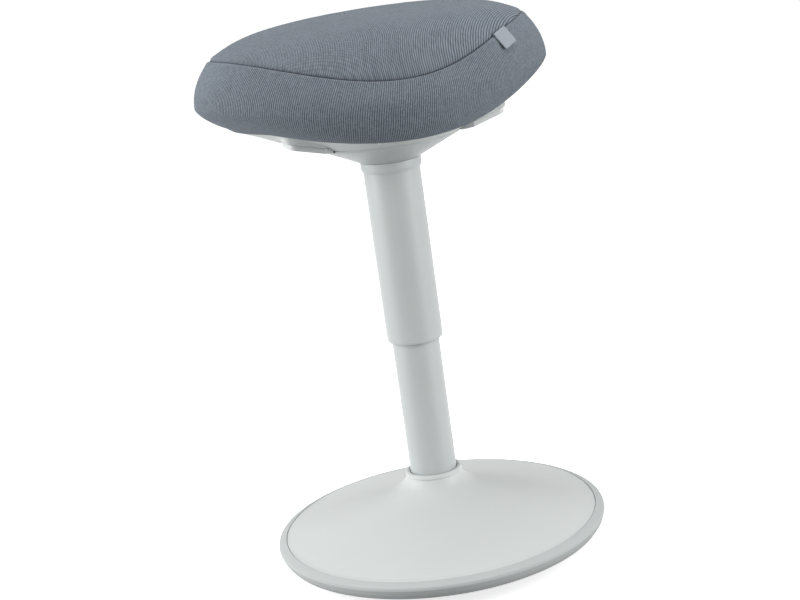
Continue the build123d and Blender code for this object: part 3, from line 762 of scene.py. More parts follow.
class RockingFoot(SubAssembly):
    """Flared cover, soft rim ring and domed tread."""

    sizes = FootSizes()

    def build(self) -> None:
        """Makes the foot's visible pieces."""
        self.cover()
        self.rim_ring()
        self.tread()

    def cover(self) -> None:
        """The painted cover that flares up to a raised lip round the column."""
        s = self.sizes
        rim = (s.cover_r - 1.2, s.cover_z - 0.15)
        flare = flowing([rim, *s.flare], (-1, 0.2), (-0.28, 1), 22)
        inner = flowing(s.inner, (0.12, -1), (1, -0.2), 14)
        edge = [Corner(s.cover_r, s.ledge_z, 0.4), Corner(s.cover_r, s.cover_z, 0.9)]
        foot = [Corner(s.inner[-1][0], s.ledge_z), *edge]
        piece = turn_on_lathe("flared_base_cover", rounded([*flare, *s.lip, *inner, *foot], 5), 160)
        smooth(piece, 50)
        self.settle(piece, Body.BASE, "pale_paint", PALE_PAINT, "base_cover")

    def rim_ring(self) -> None:
        """The soft ring pushed over the tray's wall."""
        s = self.sizes
        section = [
            Corner(s.cover_r + 0.4, s.ledge_z),
            Corner(s.cover_r + 0.4, 38.25, 0.5),
            Corner(177.4, 34.5, 1.8),
            Corner(s.outer_r, 31.4, 2.6),
            Corner(176.0, 25.6, 9.0),
            Corner(172.0, 20.4, 2.0),
            Corner(s.seat_r + 0.05, 18.4, 0.6),
            Corner(s.seat_r + 0.05, s.ledge_z),
        ]
        piece = turn_on_lathe("soft_rim_ring", rounded(section, 7), 176)
        smooth(piece, 50)
        self.settle(piece, Body.BASE, "rubber_grey", RING_RUBBER, "rim_ring")

    def tread(self) -> None:
        """The domed rubber tread with shallow rings and the screws' holes."""
        s = self.sizes
        edge_r = s.seat_r - 0.3
        radius = ((edge_r - s.flat_r) ** 2 + s.rise**2) / (2 * s.rise)

        def height(r: float, offset: float) -> float:
            """Height of the rocker's curve."""
            if r <= s.flat_r:
                return offset
            return radius - math.sqrt((radius - offset) ** 2 - (r - s.flat_r) ** 2)

        under: list[Corner] = [Corner(s.tip_r, 0.0)]
        for start in s.grooves:
            if abs(start + 1 - s.screw_circle) < s.screw_clear:
                continue
            for run, sunk in s.groove:
                under.append(Corner(start + run, height(start + run, 0) + sunk))
        under.append(Corner(edge_r, height(edge_r, 0)))
        radii = [max(edge_r - i * edge_r / s.tread_steps, s.tip_r) for i in range(s.tread_steps + 1)]
        over = [Corner(r, height(r, s.tread)) for r in radii]
        piece = turn_on_lathe("rocking_tread", rounded([*under, *over], 0), 144)
        for i in range(s.screws):
            angle = math.radians(90 + 360 / s.screws * i)
            at = (s.screw_circle * math.cos(angle), s.screw_circle * math.sin(angle))
            carve(piece, round_peg(s.screw_r, -2, 30, at), Carving.CUT)
        smooth(piece, 30)
        self.settle(piece, Body.BASE, "rubber_grey", TREAD_RUBBER, "rocker_tread")


@dataclass(frozen=True)
class ColumnSizes:
    """Sizes of the telescoping column in millimetres."""

    tube_r: float = 25.0
    bore_r: float = 22.5
    tube_low: float = 22.0
    tube_top: float = 425.0
    sleeve_r: float = 29.6
    sleeve_bore: float = 27.6
    sleeve_low: float = 241.6
    hub_z: float = 436.3
    collar_r: float = 31.6
    collar_low: float = 425.0


class Column(SubAssembly):
    """Stand tube, moving sleeve and collar."""

    sizes = ColumnSizes()

    def build(self) -> None:
        """Makes the column's visible pieces."""
        s = self.sizes
        tube = [
            Corner(s.bore_r, s.tube_low),
            Corner(s.tube_r, s.tube_low),
            Corner(s.tube_r, s.tube_top, 0.6),
            Corner(s.bore_r, s.tube_top, 0.3),
        ]
        piece = smooth(turn_on_lathe("lower_column_tube", rounded(tube, 4), 96))
        # the tube and sleeve get the darker column coat: painted shade
        self.settle(piece, Body.BASE, "pale_paint", SHADED_COLUMN_PAINT, "stand_tube")
        sleeve = [
            Corner(s.sleeve_bore, s.sleeve_low + 0.8, 0.4),
            Corner(s.sleeve_bore + 0.5, s.sleeve_low, 0.4),
            Corner(s.sleeve_r - 0.6, s.sleeve_low, 1.0),
            Corner(s.sleeve_r, s.sleeve_low + 2.8, 2.0),
            Corner(s.sleeve_r, s.hub_z + 2.7),
            Corner(s.sleeve_bore, s.hub_z + 2.7),
        ]
        piece = smooth(turn_on_lathe("upper_column_sleeve", rounded(sleeve, 6), 112), 60)
        self.settle(piece, Body.SEAT, "pale_paint", SHADED_COLUMN_PAINT, "column_sleeve")
        collar = [
            Corner(s.sleeve_r, s.collar_low),
            Corner(30.3, s.collar_low, 0.25),
            Corner(s.collar_r, s.collar_low + 3.6, 1.6),
            Corner(s.collar_r, s.hub_z - 0.5, 0.5),
            Corner(s.sleeve_r, s.hub_z - 0.1),
        ]
        piece = smooth(turn_on_lathe("sleeve_collar_ring", rounded(collar, 5), 112), 60)
        # the collar gets the hub's darker tone: painted shade under the seat
        self.settle(piece, Body.SEAT, "pale_plastic", SHADED_HUB_PLASTIC, "sleeve_collar")


@dataclass(frozen=True)
class Rise:
    """A height that changes round the seat: at its sides, front and back, in millimetres."""

    side: float
    front: float
    back: float

    def at(self, t: float) -> float:
        """The height in a direction."""
        share = math.sin(t) ** 2
        return self.side + ((self.back if math.sin(t) > 0 else self.front) - self.side) * share


@dataclass(frozen=True)
class Saddle:
    """How far the seat's rim curves up at its two sides, in millimetres."""

    half_width: float = 180.0
    half_depth: float = 137.0
    egg: float = 0.25
    height: float = 5.5
    starts: float = 0.56  # share of the plan where the rise begins
    full: float = 0.82  # share where it is complete

    def share(self, x: float, y: float) -> tuple[float, float]:
        """Where a point lies in the seat's plan."""
        share = max(1e-6, math.hypot(x / self.half_width, y / self.half_depth))
        for _ in range(4):
            sine = max(-1.0, min(1.0, y / (self.half_depth * share)))
            share = max(1e-6, math.hypot(x / (self.half_width * (1 + self.egg * sine)), y / self.half_depth))
        return share, max(-1.0, min(1.0, y / (self.half_depth * share)))

    def rise(self, x: float, y: float) -> float:
        """Height of the saddle over the flat rim."""
        share, sine = self.share(x, y)
        side = 1 - smooth_step(0.0, 0.5, sine**2)
        return self.height * side * smooth_step(self.starts, self.full, share)


SADDLE = Saddle()


def bend_to_saddle(piece: Object) -> Object:
    """Bends a piece that was made for a flat rim to the seat's saddle.

    Args:
        piece: The piece.

    Returns:
        The same piece.
    """
    longest, least_rise, rounds = 11.0 * MM, 0.02, 5  # long edges that rise are divided, at most so often
    pick(piece)
    with open_mesh():
        bpy.ops.mesh.quads_convert_to_tris()
        for _ in range(rounds):
            sheet = bmesh.from_edit_mesh(piece.data)
            found = False
            for edge in sheet.edges:
                ends = [SADDLE.rise(v.co.x / MM, v.co.y / MM) for v in edge.verts]
                edge.select = edge.calc_length() > longest and max(ends) > least_rise
                found = found or edge.select
            sheet.select_flush_mode()
            bmesh.update_edit_mesh(piece.data)
            if not found:
                break
            bpy.ops.mesh.subdivide(number_cuts=1)
            bpy.ops.mesh.select_all(action="SELECT")
            bpy.ops.mesh.quads_convert_to_tris()
    for vertex in piece.data.vertices:
        vertex.co.z += SADDLE.rise(vertex.co.x / MM, vertex.co.y / MM) * MM
    return piece


@dataclass(frozen=True)
class CushionShape:
    """Sizes of the cushion in millimetres and shares of its plan, and the lines that they draw."""

    half_width: float = 182.6
    half_depth: float = 134.6
    egg: float = 0.237
    crown_y: float = 30.0
    crown_z: float = 585.2
    crown_power: float = 4.65
    seam_share: float = 0.882
    seam: Rise = Rise(563.2, 530.1, 548.0)
    waist: Rise = Rise(515.3, 500.7, 511.8)
    tab_angle: float = -0.65
    tab_rise: float = 3.4
    tab_reach: float = 0.42
    shoulder_start: float = 1.145  # where the side band's arc leaves the seam, radians from its top
    low_share: Rise = Rise(0.752, 0.904, 0.80)
    low: Rise = Rise(487.0, 471.3, 486.0)
    low_curve: Rise = Rise(1.375, 1.06, 1.35)
    tuck_share: float = 0.852  # nowhere does the rounded underside go further in than this
    hem_share: Rise = Rise(0.820, 0.838, 0.824)
    hem_z: float = 482.75
    hem_in_share: float = 0.69
    board_share: float = 0.818
    board_z: float = 484.0
    board_top_z: float = 496.2

    def plan(self, share: float, t: float, shift: float = 0.0) -> tuple[float, float]:
        """A point of the seat's plan."""
        x = self.half_width * share * math.cos(t) * (1 + self.egg * math.sin(t))
        return x, self.half_depth * share * math.sin(t) + shift

    def seam_z(self, t: float) -> float:
        """Height of the seam: it is drawn up a little where the tab is sewn in."""
        away = math.remainder(t - self.tab_angle, FULL_TURN)
        return self.seam.at(t) + self.tab_rise * math.exp(-((away / self.tab_reach) ** 2))

    def shoulder(self, reach: float, t: float) -> tuple[float, float]:
        """A point of the side band between the seam and the waist."""
        start = self.shoulder_start
        u = start + (math.pi / 2 - start) * reach
        out = (math.sin(u) - math.sin(start)) / (1 - math.sin(start))
        over = math.cos(u) / math.cos(start)
        height = self.waist.at(t) + (self.seam_z(t) - self.waist.at(t)) * over
        return self.seam_share + (1 - self.seam_share) * out, height

    def underside(self, reach: float, t: float) -> tuple[float, float]:
        """A point of the underside between the waist and the place where it turns in to the hem."""
        low, curve = self.low_share.at(t), self.low_curve.at(t)
        depth = max(0.0, (self.tuck_share - low) / (1 - low))
        u = math.acos(depth ** (1 / curve)) * reach
        share = low + (1 - low) * max(0.0, math.cos(u)) ** curve
        drop = (self.waist.at(t) - self.low.at(t)) * max(0.0, math.sin(u)) ** curve
        return share, self.waist.at(t) - drop

    def tuck(self, reach: float, t: float) -> tuple[float, float]:
        """A point of the cloth between the turn and the hem."""
        share, height = self.underside(1.0, t)
        droop = math.sin(t) ** 2 if math.sin(t) < 0 else 0.0
        angle = reach * math.pi / 2
        inwards = (1 - droop) * reach + droop * math.sin(angle)
        upwards = (1 - droop) * reach + droop * (1 - math.cos(angle))
        hem = self.hem_z + SADDLE.rise(*self.plan(self.hem_share.at(t), t))
        return share + (self.hem_share.at(t) - share) * inwards, height + (hem - height) * upwards


@dataclass(frozen=True)
class CarrierSizes:
    """Sizes under the seat in millimetres."""

    rim_z: float = 482.5
    root_r: float = 78.0
    root_z: float = 460.65
    slot_line: tuple[tuple[float, float], ...] = (
        (68.0, -43.0), (78.0, -53.0), (106.0, -53.0), (111.0, -51.0), (113.0, -46.0), (113.0, -20.0),
    )
    slot_gap: float = 1.1
    slot_wall: float = 1.6
    lap: float = 1.6  # the slot's wall reaches this far up into the shell
    clear: float = 0.35  # it ends this far above the paddle
    paddle_r: float = 72.0
    paddle_z: float = 465.2
    blade_rise: float = 11.4  # the blade's upper face climbs by this over its run
    blade_run: float = 41.0
    arm_drop: float = 1.6  # the arm's falls towards the column
    arm_run: float = 11.0


class SeatCarrier(SubAssembly):
    """Hub cover, seat shell and the two release paddles."""

    sizes = CarrierSizes()

    def shell_under(self, x: float, y: float) -> float:
        """Height of the shell's underside before it is bent to the saddle."""
        s = self.sizes
        r = math.hypot(x, y)
        rim_r = r * SADDLE.full / SADDLE.share(x, y)[0]
        return s.root_z + (s.rim_z - s.root_z) * ((r - s.root_r) / (rim_r - s.root_r))

    def paddle_top(self, x: float) -> float:
        """Height of a paddle's upper face, in millimetres, at a distance from the column's axis."""
        s = self.sizes
        outer, inner = max(0.0, x - s.paddle_r), max(0.0, s.paddle_r - x)
        return s.paddle_z + outer * s.blade_rise / s.blade_run - inner * s.arm_drop / s.arm_run

    def slot_guard(self, side: int) -> Object:
        """The shell's short wall in front of a paddle, down to the paddle's upper edge.

        Args:
            side: 1 for the paddle on the right, -1 for the left.

        Returns:
            The wall, to be joined to the shell.
        """
        s = self.sizes
        line = [Vector(p) for p in s.slot_line]
        inner, outer = s.slot_gap, s.slot_gap + s.slot_wall
        rows: list[tuple[float, float, float]] = []
        for k, here in enumerate(line):
            before, after = line[max(0, k - 1)], line[min(len(line) - 1, k + 1)]
            run = (after - before).normalized()
            out = Vector((-run.y, run.x)) * -1
            for stand, top in ((inner, False), (outer, False), (outer, True), (inner, True)):
                spot = here + out * stand
                low = self.paddle_top(here.x) + s.clear - SADDLE.rise(spot.x, spot.y)
                high = min(s.rim_z - 0.3, max(low + 0.4, self.shell_under(spot.x, spot.y) + s.lap))
                rows.append((side * spot.x * MM, spot.y * MM, (high if top else low) * MM))
        faces = [
            (4 * k + a, 4 * k + b, 4 * k + 4 + b, 4 * k + 4 + a)
            for k in range(len(line) - 1)
            for a, b in ((0, 1), (1, 2), (2, 3), (3, 0))
        ]
        last = 4 * (len(line) - 1)
        faces += [(0, 1, 2, 3), (last, last + 1, last + 2, last + 3)]
        mesh = bpy.data.meshes.new("slot_guard")
        mesh.from_pydata(rows, [], faces)
        wall = add_object("slot_guard", mesh)
        pick(wall)
        with open_mesh():
            bpy.ops.mesh.normals_make_consistent(inside=False)
        return wall

    def build(self) -> None:
        """Makes the pieces that carry the cushion."""
        hub = smooth(softened_copy("hub_cover", "conical_hub_cover", 1.1, 3), 30)
        # the hub gets the darker tone: painted shade under the seat
        self.settle(hub, Body.SEAT, "shell_plastic", SHADED_HUB_PLASTIC, "hub_cover")
        shell = softened_copy("seat_shell", "dished_seat_shell", 0.6)
        for side in (-1, 1):
            carve(shell, self.slot_guard(side), Carving.JOIN)
        smooth(bend_to_saddle(shell), 30)
        self.settle(shell, Body.SEAT, "shell_plastic", SHELL_PLASTIC, "seat_shell")
        board = smooth(bend_to_saddle(softened_copy("seat_board", "bent_seat_board", 0.8)), 30)
        self.settle(board, Body.SEAT, "plywood", BIRCH, "seat_board")
        staples = smooth(bend_to_saddle(softened_copy("cover_staples", "hem_staples", 0.0)), 30)
        self.settle(staples, Body.SEAT, "zinc_steel", ZINC, "cover_staples")
        paddles = {"release_paddle_left": Body.PADDLE_LEFT, "release_paddle_right": Body.PADDLE_RIGHT}
        for node, body in paddles.items():
            paddle = smooth(softened_copy(node, "soft_" + node, 1.6, 3), 40)
            self.settle(paddle, body, "pale_plastic", PALE_PLASTIC, node)


@dataclass
class Station:
    """One ring of the cushion's surface."""

    share: Callable[[float], float]
    height: Callable[[float], float]
    shift: float = 0.0
    seam_gap: float = 99.0  # distance from the seam along the cloth, millimetres; minus is the top panel


@dataclass(frozen=True)
class RingPlan:
    """How many rings draw the cushion, and where they lie."""

    segments: int = 384
    near_seam: tuple[float, ...] = (5.5, 3.6, 2.4, 1.6, 1.0, 0.5)  # from the seam on both sides, millimetres
    crown: int = 27
    crown_spread: float = 0.9  # under 1 draws the rings towards the seam
    crown_reach: float = 0.94
    pole: float = 1e-4  # share of the plan of the smallest rings
    band: float = 46.0  # length of the side band from the seam to the waist, millimetres
    band_rings: int = 13
    band_start: float = 0.19
    band_run: float = 0.81
    underside: int = 16
    underside_step: float = 3.0  # millimetres along the cloth
    tuck: int = 6


@dataclass(frozen=True)
class ClothLay:
    """How the weave lies on the cushion."""

    top_turn: float = 0.715  # how far the top panel's ribs lean from the seat's length, radians
    top_fine: float = 1.32  # ribs of the top panel are closer by this much
    band_fine: float = 0.924  # ribs of the side band are wider apart
    band_lean: float = 0.168  # sideways lean of the band's ribs
    crown_z: float = 0.5848  # the top panel's fall is counted from this height, metres
    crown_fall: float = 0.6  # part of that fall that goes into the cloth's length
    seam_at: float = -1.5 * math.pi  # direction of the band's back seam, radians
    steps: int = 720  # steps of the walk round the band
    profile_at: float = -0.8  # direction in which the band's drop is measured, radians


@dataclass(frozen=True)
class FoamSettling:
    """Numbers of the short simulation that puffs the cushion's skin, with lengths in metres."""

    voxel: float = 0.006
    inset: float = 0.0022  # the skin starts this far inside
    held_below: float = 0.4905
    frames: int = 20
    quality: int = 5
    mass: float = 0.3
    tension: float = 22.0
    shear: float = 10.0
    bending: float = 0.6
    pressure: float = 4.0
    furthest: float = 0.0042  # no point of the skin goes further than this
    relaxing: int = 3
    least: float = -0.0004  # the cushion's points move by this to that
    most: float = 0.0014
    fade_low: float = 0.486  # the moves fade out between these heights
    fade_high: float = 0.500
    pocket: float = 9.0  # millimetres above the board's top that count as outside


@dataclass(frozen=True)
class SeamSizes:
    """Shape of the sewn seam in millimetres, measured along the cloth."""

    reach: float = 16.0
    crease: float = 1.35  # depth of the crease
    crease_half: float = 1.0
    swell: float = 0.42  # height of the cloth's roll beside it
    swell_at: float = 3.4
    swell_half: float = 2.1
    pucker: float = 0.22
    pucker_reach: float = 7.0
    pucker_calm: float = 1.5  # the crease itself isn't puckered
    # half-width of the seam's painted shade
    dark_half: float = 0.75


@dataclass(frozen=True)
class TabSizes:
    """Sizes of the folded side tab in millimetres."""

    width: float = 22.0
    length: float = 19.5
    tape: float = 0.55
    rows: int = 15
    columns: int = 6
    root: float = 1.0  # it starts this far inside the seam
    tilt: float = 0.17  # how far it leans sideways for each step down
    stand: float = 0.4  # how far its root stands off the cloth
    lift: float = 2.8  # how much further its fold stands off
    lift_power: float = 1.3
    bow: float = 0.5
    fold: float = 0.9  # half the fold's height, in tapes
    fold_from: float = 0.94
    fold_run: float = 0.06
    clear: float = 0.5  # least distance from the cloth
    edge: float = 0.1  # rounding of the tape's edges


class Cushion(SubAssembly):
    """The padded seat: an egg-shaped, crowned form in two sewn panels, with its tab."""

    sizes = CushionShape()
    ring_plan = RingPlan()
    lay = ClothLay()
    foam = FoamSettling()
    seam = SeamSizes()
    tab = TabSizes()
    fill = 0.85

    def build(self) -> None:
        """Makes the cushion and its side tab."""
        stations = self.stations()
        piece = self.form(stations)
        self.settle_foam(piece)
        self.sew(piece, stations)
        smooth(piece, 60)
        stands_for = ("seat_foam", "cover_top_panel", "cover_side_band")
        self.settle(piece, Body.SEAT, "seat_fabric", SEAT_CLOTH, *stands_for)
        self.side_tab(piece)

    def stations(self) -> list[Station]:
        """Lists the rings from the crown over the seam and the waist to the hem and the board's pocket.

        Returns:
            The rings, poles included.
        """
        s, plan = self.sizes, self.ring_plan
        rings: list[Station] = []
        depth = s.half_depth * s.seam_share

        def crown(rho: float) -> Callable[[float], float]:
            """Height of the top panel."""
            return lambda t: s.crown_z - (s.crown_z - s.seam_z(t)) * rho**s.crown_power

        def add(line: Callable[[float, float], tuple[float, float]], reach: float, gap: float) -> None:
            """Adds a ring of the band at one reach of a line."""
            rings.append(Station(lambda t: line(reach, t)[0], lambda t: line(reach, t)[1], 0.0, gap))

        spread = [((i + 1) / plan.crown) ** plan.crown_spread * plan.crown_reach for i in range(plan.crown)]
        for rho in sorted({0.0, *spread, *(1 - gap / depth for gap in plan.near_seam)}):
            share = max(rho, plan.pole) * s.seam_share
            left = 1 - rho
            rings.append(Station(lambda t, at=share: at, crown(rho), s.crown_y * left, -left * depth))
        rings.append(Station(lambda t: s.seam_share, s.seam_z, 0.0, 0.0))
        shares = [plan.band_start + plan.band_run * i / plan.band_rings for i in range(plan.band_rings + 1)]
        for gap in [*reversed(plan.near_seam), *[plan.band * share for share in shares]]:
            add(s.shoulder, gap / plan.band, gap)
        for i in range(1, plan.underside + 1):
            add(s.underside, i / plan.underside, plan.band + plan.underside_step * i)
        for i in range(1, plan.tuck + 1):
            add(s.tuck, i / plan.tuck, Station.seam_gap)

        def under(share: Callable[[float], float], z: float) -> None:
            """Adds a ring under the seat, bent to the saddle."""

            def height(t: float) -> float:
                """The ring's height in a direction."""
                return z + SADDLE.rise(*s.plan(share(t), t))

            rings.append(Station(share, height))

        hem, low, top = s.hem_z + 0.05, s.board_z - 0.1, s.board_top_z
        under(lambda t: s.hem_share.at(t) - 0.006, hem)
        inwards = ((0.76, hem), (s.hem_in_share, hem))
        upwards = ((s.hem_in_share, low), (0.76, low), (s.board_share, low))
        over = ((s.board_share, top), (0.7, top), (0.55, top), (plan.pole, top))
        for share, z in (*inwards, *upwards, *over):
            under(lambda t, at=share: at, z)
        return rings

    def form(self, stations: Sequence[Station]) -> Object:
        """Shapes a sphere's rings into the cushion and maps its cloth.

        Args:
            stations: The rings from crown to pocket.

        Returns:
            The closed cushion.
        """
        clear_selection()
        last = len(stations) - 1
        segments = self.ring_plan.segments
        bpy.ops.mesh.primitive_uv_sphere_add(segments=segments, ring_count=last, radius=1.0)
        piece = bpy.context.object
        piece.name = "seat_cushion"
        mesh = piece.data
        rings = [round(math.acos(max(-1.0, min(1.0, v.co.z))) / math.pi * last) for v in mesh.vertices]
        turns = [math.atan2(v.co.y, v.co.x) for v in mesh.vertices]
        for vertex, ring, t in zip(mesh.vertices, rings, turns):
            station = stations[ring]
            if ring in (0, last):
                vertex.co = (0.0, station.shift * MM, station.height(0.0) * MM)
                continue
            x, y = self.sizes.plan(station.share(t), t, station.shift)
            vertex.co = (x * MM, y * MM, station.height(t) * MM)
        layer = mesh.attributes.new("ring", "INT", "POINT")
        layer.data.foreach_set("value", rings)
        self.map_cloth(mesh, stations, rings, turns)
        return piece

    def map_cloth(
        self, mesh: bpy.types.Mesh, stations: Sequence[Station], rings: Sequence[int], turns: Sequence[float]
    ) -> None:
        """Writes the weave's map: slantwise on the top panel, nearly upright on the side band.

        Args:
            mesh: The cushion's mesh.
            stations: Its rings.
            rings: Ring of each vertex.
            turns: Direction of each vertex.
        """
        lay = self.lay
        seam_ring = next(i for i, ring in enumerate(stations) if ring.seam_gap == 0.0)
        lengths = [0.0]
        walk = [self.sizes.plan(1.0, lay.seam_at + FULL_TURN * i / lay.steps) for i in range(lay.steps + 1)]
        for a, b in zip(walk, walk[1:]):
            lengths.append(lengths[-1] + math.hypot(b[0] - a[0], b[1] - a[1]) * MM)

        def round_length(psi: float) -> float:
            """Length of the side band from the back seam to a direction."""
            spot = (psi / FULL_TURN + 0.5) * lay.steps
            i = max(0, min(lay.steps - 1, int(spot)))
            return lengths[i] + (lengths[i + 1] - lengths[i]) * (spot - i)

        drops = [0.0]
        mean_half = (self.sizes.half_depth + self.sizes.half_width) / 2
        for a, b in zip(stations, stations[1:]):
            run = (b.share(lay.profile_at) - a.share(lay.profile_at)) * mean_half
            fall = b.height(lay.profile_at) - a.height(lay.profile_at)
            drops.append(drops[-1] + math.hypot(run, fall) * MM)
        layer = mesh.uv_layers.active or mesh.uv_layers.new()
        layer.name = "weave"
        middle = lengths[-1] / 2
        lean = (math.cos(lay.top_turn), math.sin(lay.top_turn))
        for face in mesh.polygons:
            ring = min(rings[v] for v in face.vertices)
            x = sum(math.cos(turns[v]) for v in face.vertices)
            y = sum(math.sin(turns[v]) for v in face.vertices)
            psi_face = math.remainder(math.atan2(y, x) + math.pi / 2, FULL_TURN)
            for loop, v in zip(face.loop_indices, face.vertices):
                if ring < seam_ring:
                    spot = mesh.vertices[v].co
                    ahead = -spot.y - (lay.crown_z - spot.z) * lay.crown_fall
                    across = (spot.x * lean[0] + ahead * lean[1]) * lay.top_fine
                    along = (ahead * lean[0] - spot.x * lean[1]) * lay.top_fine
                    layer.data[loop].uv = (across, along)
                    continue
                psi = psi_face + math.remainder(turns[v] + math.pi / 2 - psi_face, FULL_TURN)
                drop = drops[rings[v]]
                across = (round_length(psi) - middle) * lay.band_fine + drop * lay.band_lean
                layer.data[loop].uv = (across, drop)

    def settle_foam(self, piece: Object) -> None:
        """Lets a cloth skin puff out over the foam, and draws the cushion's surface to it.

        Args:
            piece: The cushion.
        """
        foam = self.foam
        skin = self.puffed_skin(piece)
        tree = BVHTree.FromObject(skin, bpy.context.evaluated_depsgraph_get())
        swells: dict[int, float] = {}
        for vertex in piece.data.vertices:
            spot = tree.find_nearest(vertex.co)[0]
            if vertex.co.z > foam.fade_low and spot is not None and self.outside_board(vertex.co):
                swells[vertex.index] = (spot - vertex.co).dot(vertex.normal)
        usual = sum(swells.values()) / max(1, len(swells))
        directions = {k: piece.data.vertices[k].normal.copy() for k in swells}
        for k, swell in swells.items():
            vertex = piece.data.vertices[k]
            move = max(foam.least, min(foam.most, swell - usual))
            vertex.co += directions[k] * (move * smooth_step(foam.fade_low, foam.fade_high, vertex.co.z))
        piece.data.update()
        bpy.data.objects.remove(skin)

    def puffed_skin(self, piece: Object) -> Object:
        """Blows up a closed cloth skin round the cushion, a little, by a short simulation.

        Args:
            piece: The cushion.

        Returns:
            The skin, to be thrown away.
        """
        foam = self.foam
        skin = add_object("puffed_skin", piece.data.copy())
        pick(skin)
        skin.data.remesh_voxel_size = foam.voxel
        bpy.ops.object.voxel_remesh()
        skin.data.update()
        starts = [v.co - v.normal * foam.inset for v in skin.data.vertices]
        for vertex, start in zip(skin.data.vertices, starts):
            vertex.co = start
        pinned = skin.vertex_groups.new(name="held")
        pinned.add([v.index for v in skin.data.vertices if v.co.z < foam.held_below], 1.0, "REPLACE")
        cloth = skin.modifiers.new("puff", "CLOTH")
        settings = cloth.settings
        settings.quality = foam.quality
        settings.mass = foam.mass
        settings.tension_stiffness = settings.compression_stiffness = foam.tension
        settings.shear_stiffness = foam.shear
        settings.bending_stiffness = foam.bending
        settings.use_pressure = True
        settings.uniform_pressure_force = foam.pressure
        settings.vertex_group_mass = "held"
        settings.effector_weights.gravity = 0.0
        cloth.collision_settings.use_collision = False
        cloth.point_cache.frame_start, cloth.point_cache.frame_end = 1, foam.frames
        scene = bpy.context.scene
        for step in range(1, foam.frames + 1):
            scene.frame_set(step)
        shape = skin.evaluated_get(bpy.context.evaluated_depsgraph_get())
        ends = [v.co.copy() for v in shape.data.vertices]
        scene.frame_set(1)
        skin.modifiers.remove(cloth)
        for vertex, start, end in zip(skin.data.vertices, starts, ends):
            step_out = end - start
            if step_out.length > foam.furthest:
                step_out *= foam.furthest / step_out.length
            vertex.co = start + step_out
        relax = skin.modifiers.new("even", "SMOOTH")
        relax.iterations = foam.relaxing
        apply_modifiers(skin)
        return skin

    def outside_board(self, spot: Vector) -> bool:
        """Whether a point lies on the cushion's outside and not in the board's pocket."""
        s = self.sizes
        y = spot.y / MM / s.half_depth
        x = spot.x / MM / (s.half_width * (1 + s.egg * max(-1.0, min(1.0, y))))
        return spot.z / MM > s.board_top_z + self.foam.pocket or math.hypot(x, y) > s.board_share + 0.02

    def sew(self, piece: Object, stations: Sequence[Station]) -> None:
        """Draws the seam in, with the small puckers that its stitches pull.

        Args:
            piece: The cushion.
            stations: Its rings.
        """
        mesh, seam = piece.data, self.seam
        rings = [0] * len(mesh.vertices)
        mesh.attributes["ring"].data.foreach_get("value", rings)
        normals = [v.normal.copy() for v in mesh.vertices]
        dark = mesh.attributes.new("seam", "FLOAT", "POINT")
        shades = [0.0] * len(mesh.vertices)

        def bell(away: float, half: float) -> float:
            """A bell-shaped rise of 1 at no distance."""
            return math.exp(-((away / half) ** 2))

        for vertex, ring, normal in zip(mesh.vertices, rings, normals):
            gap = stations[ring].seam_gap
            if abs(gap) > seam.reach:
                continue
            t = math.atan2(vertex.co.y, vertex.co.x)
            pull = noise.noise(Vector((t * 24, gap * 0.05, 3.1)))
            pull += 0.6 * noise.noise(Vector((t * 51, 1.7, gap * 0.1)))
            sunk = -seam.crease * bell(gap, seam.crease_half)
            sunk += seam.swell * bell(abs(gap) - seam.swell_at, seam.swell_half)
            calm = 1 - bell(gap, seam.pucker_calm)
            pucker = seam.pucker * pull * bell(abs(gap), seam.pucker_reach) * calm
            vertex.co += normal * (sunk + pucker) * MM
            # marks the crease for the seam's painted shade
            shades[vertex.index] = bell(gap, seam.dark_half)
        dark.data.foreach_set("value", shades)
        mesh.attributes.remove(mesh.attributes["ring"])
        mesh.update()

    def tab_frame(self) -> tuple[Vector, Vector, Vector, Vector]:
        """Where the tab is sewn in, in metres, and its directions along the seam, down and out."""
        s = self.sizes
        t, ahead = s.tab_angle, s.tab_angle + 0.02
        x, y = s.plan(s.seam_share, t)
        root = Vector((x, y, s.seam_z(t))) * MM
        along = (Vector((*s.plan(s.seam_share, ahead), s.seam_z(ahead))) * MM - root).normalized()
        low_share, low_z = s.shoulder(0.4, t)
        band = Vector((*s.plan(low_share, t), low_z)) * MM - root
        down = (band - along * band.dot(along)).normalized()
        out = down.cross(along).normalized()
        if out.dot(Vector((x, y, 0))) < 0:
            out = -out
        return root, along, down, out

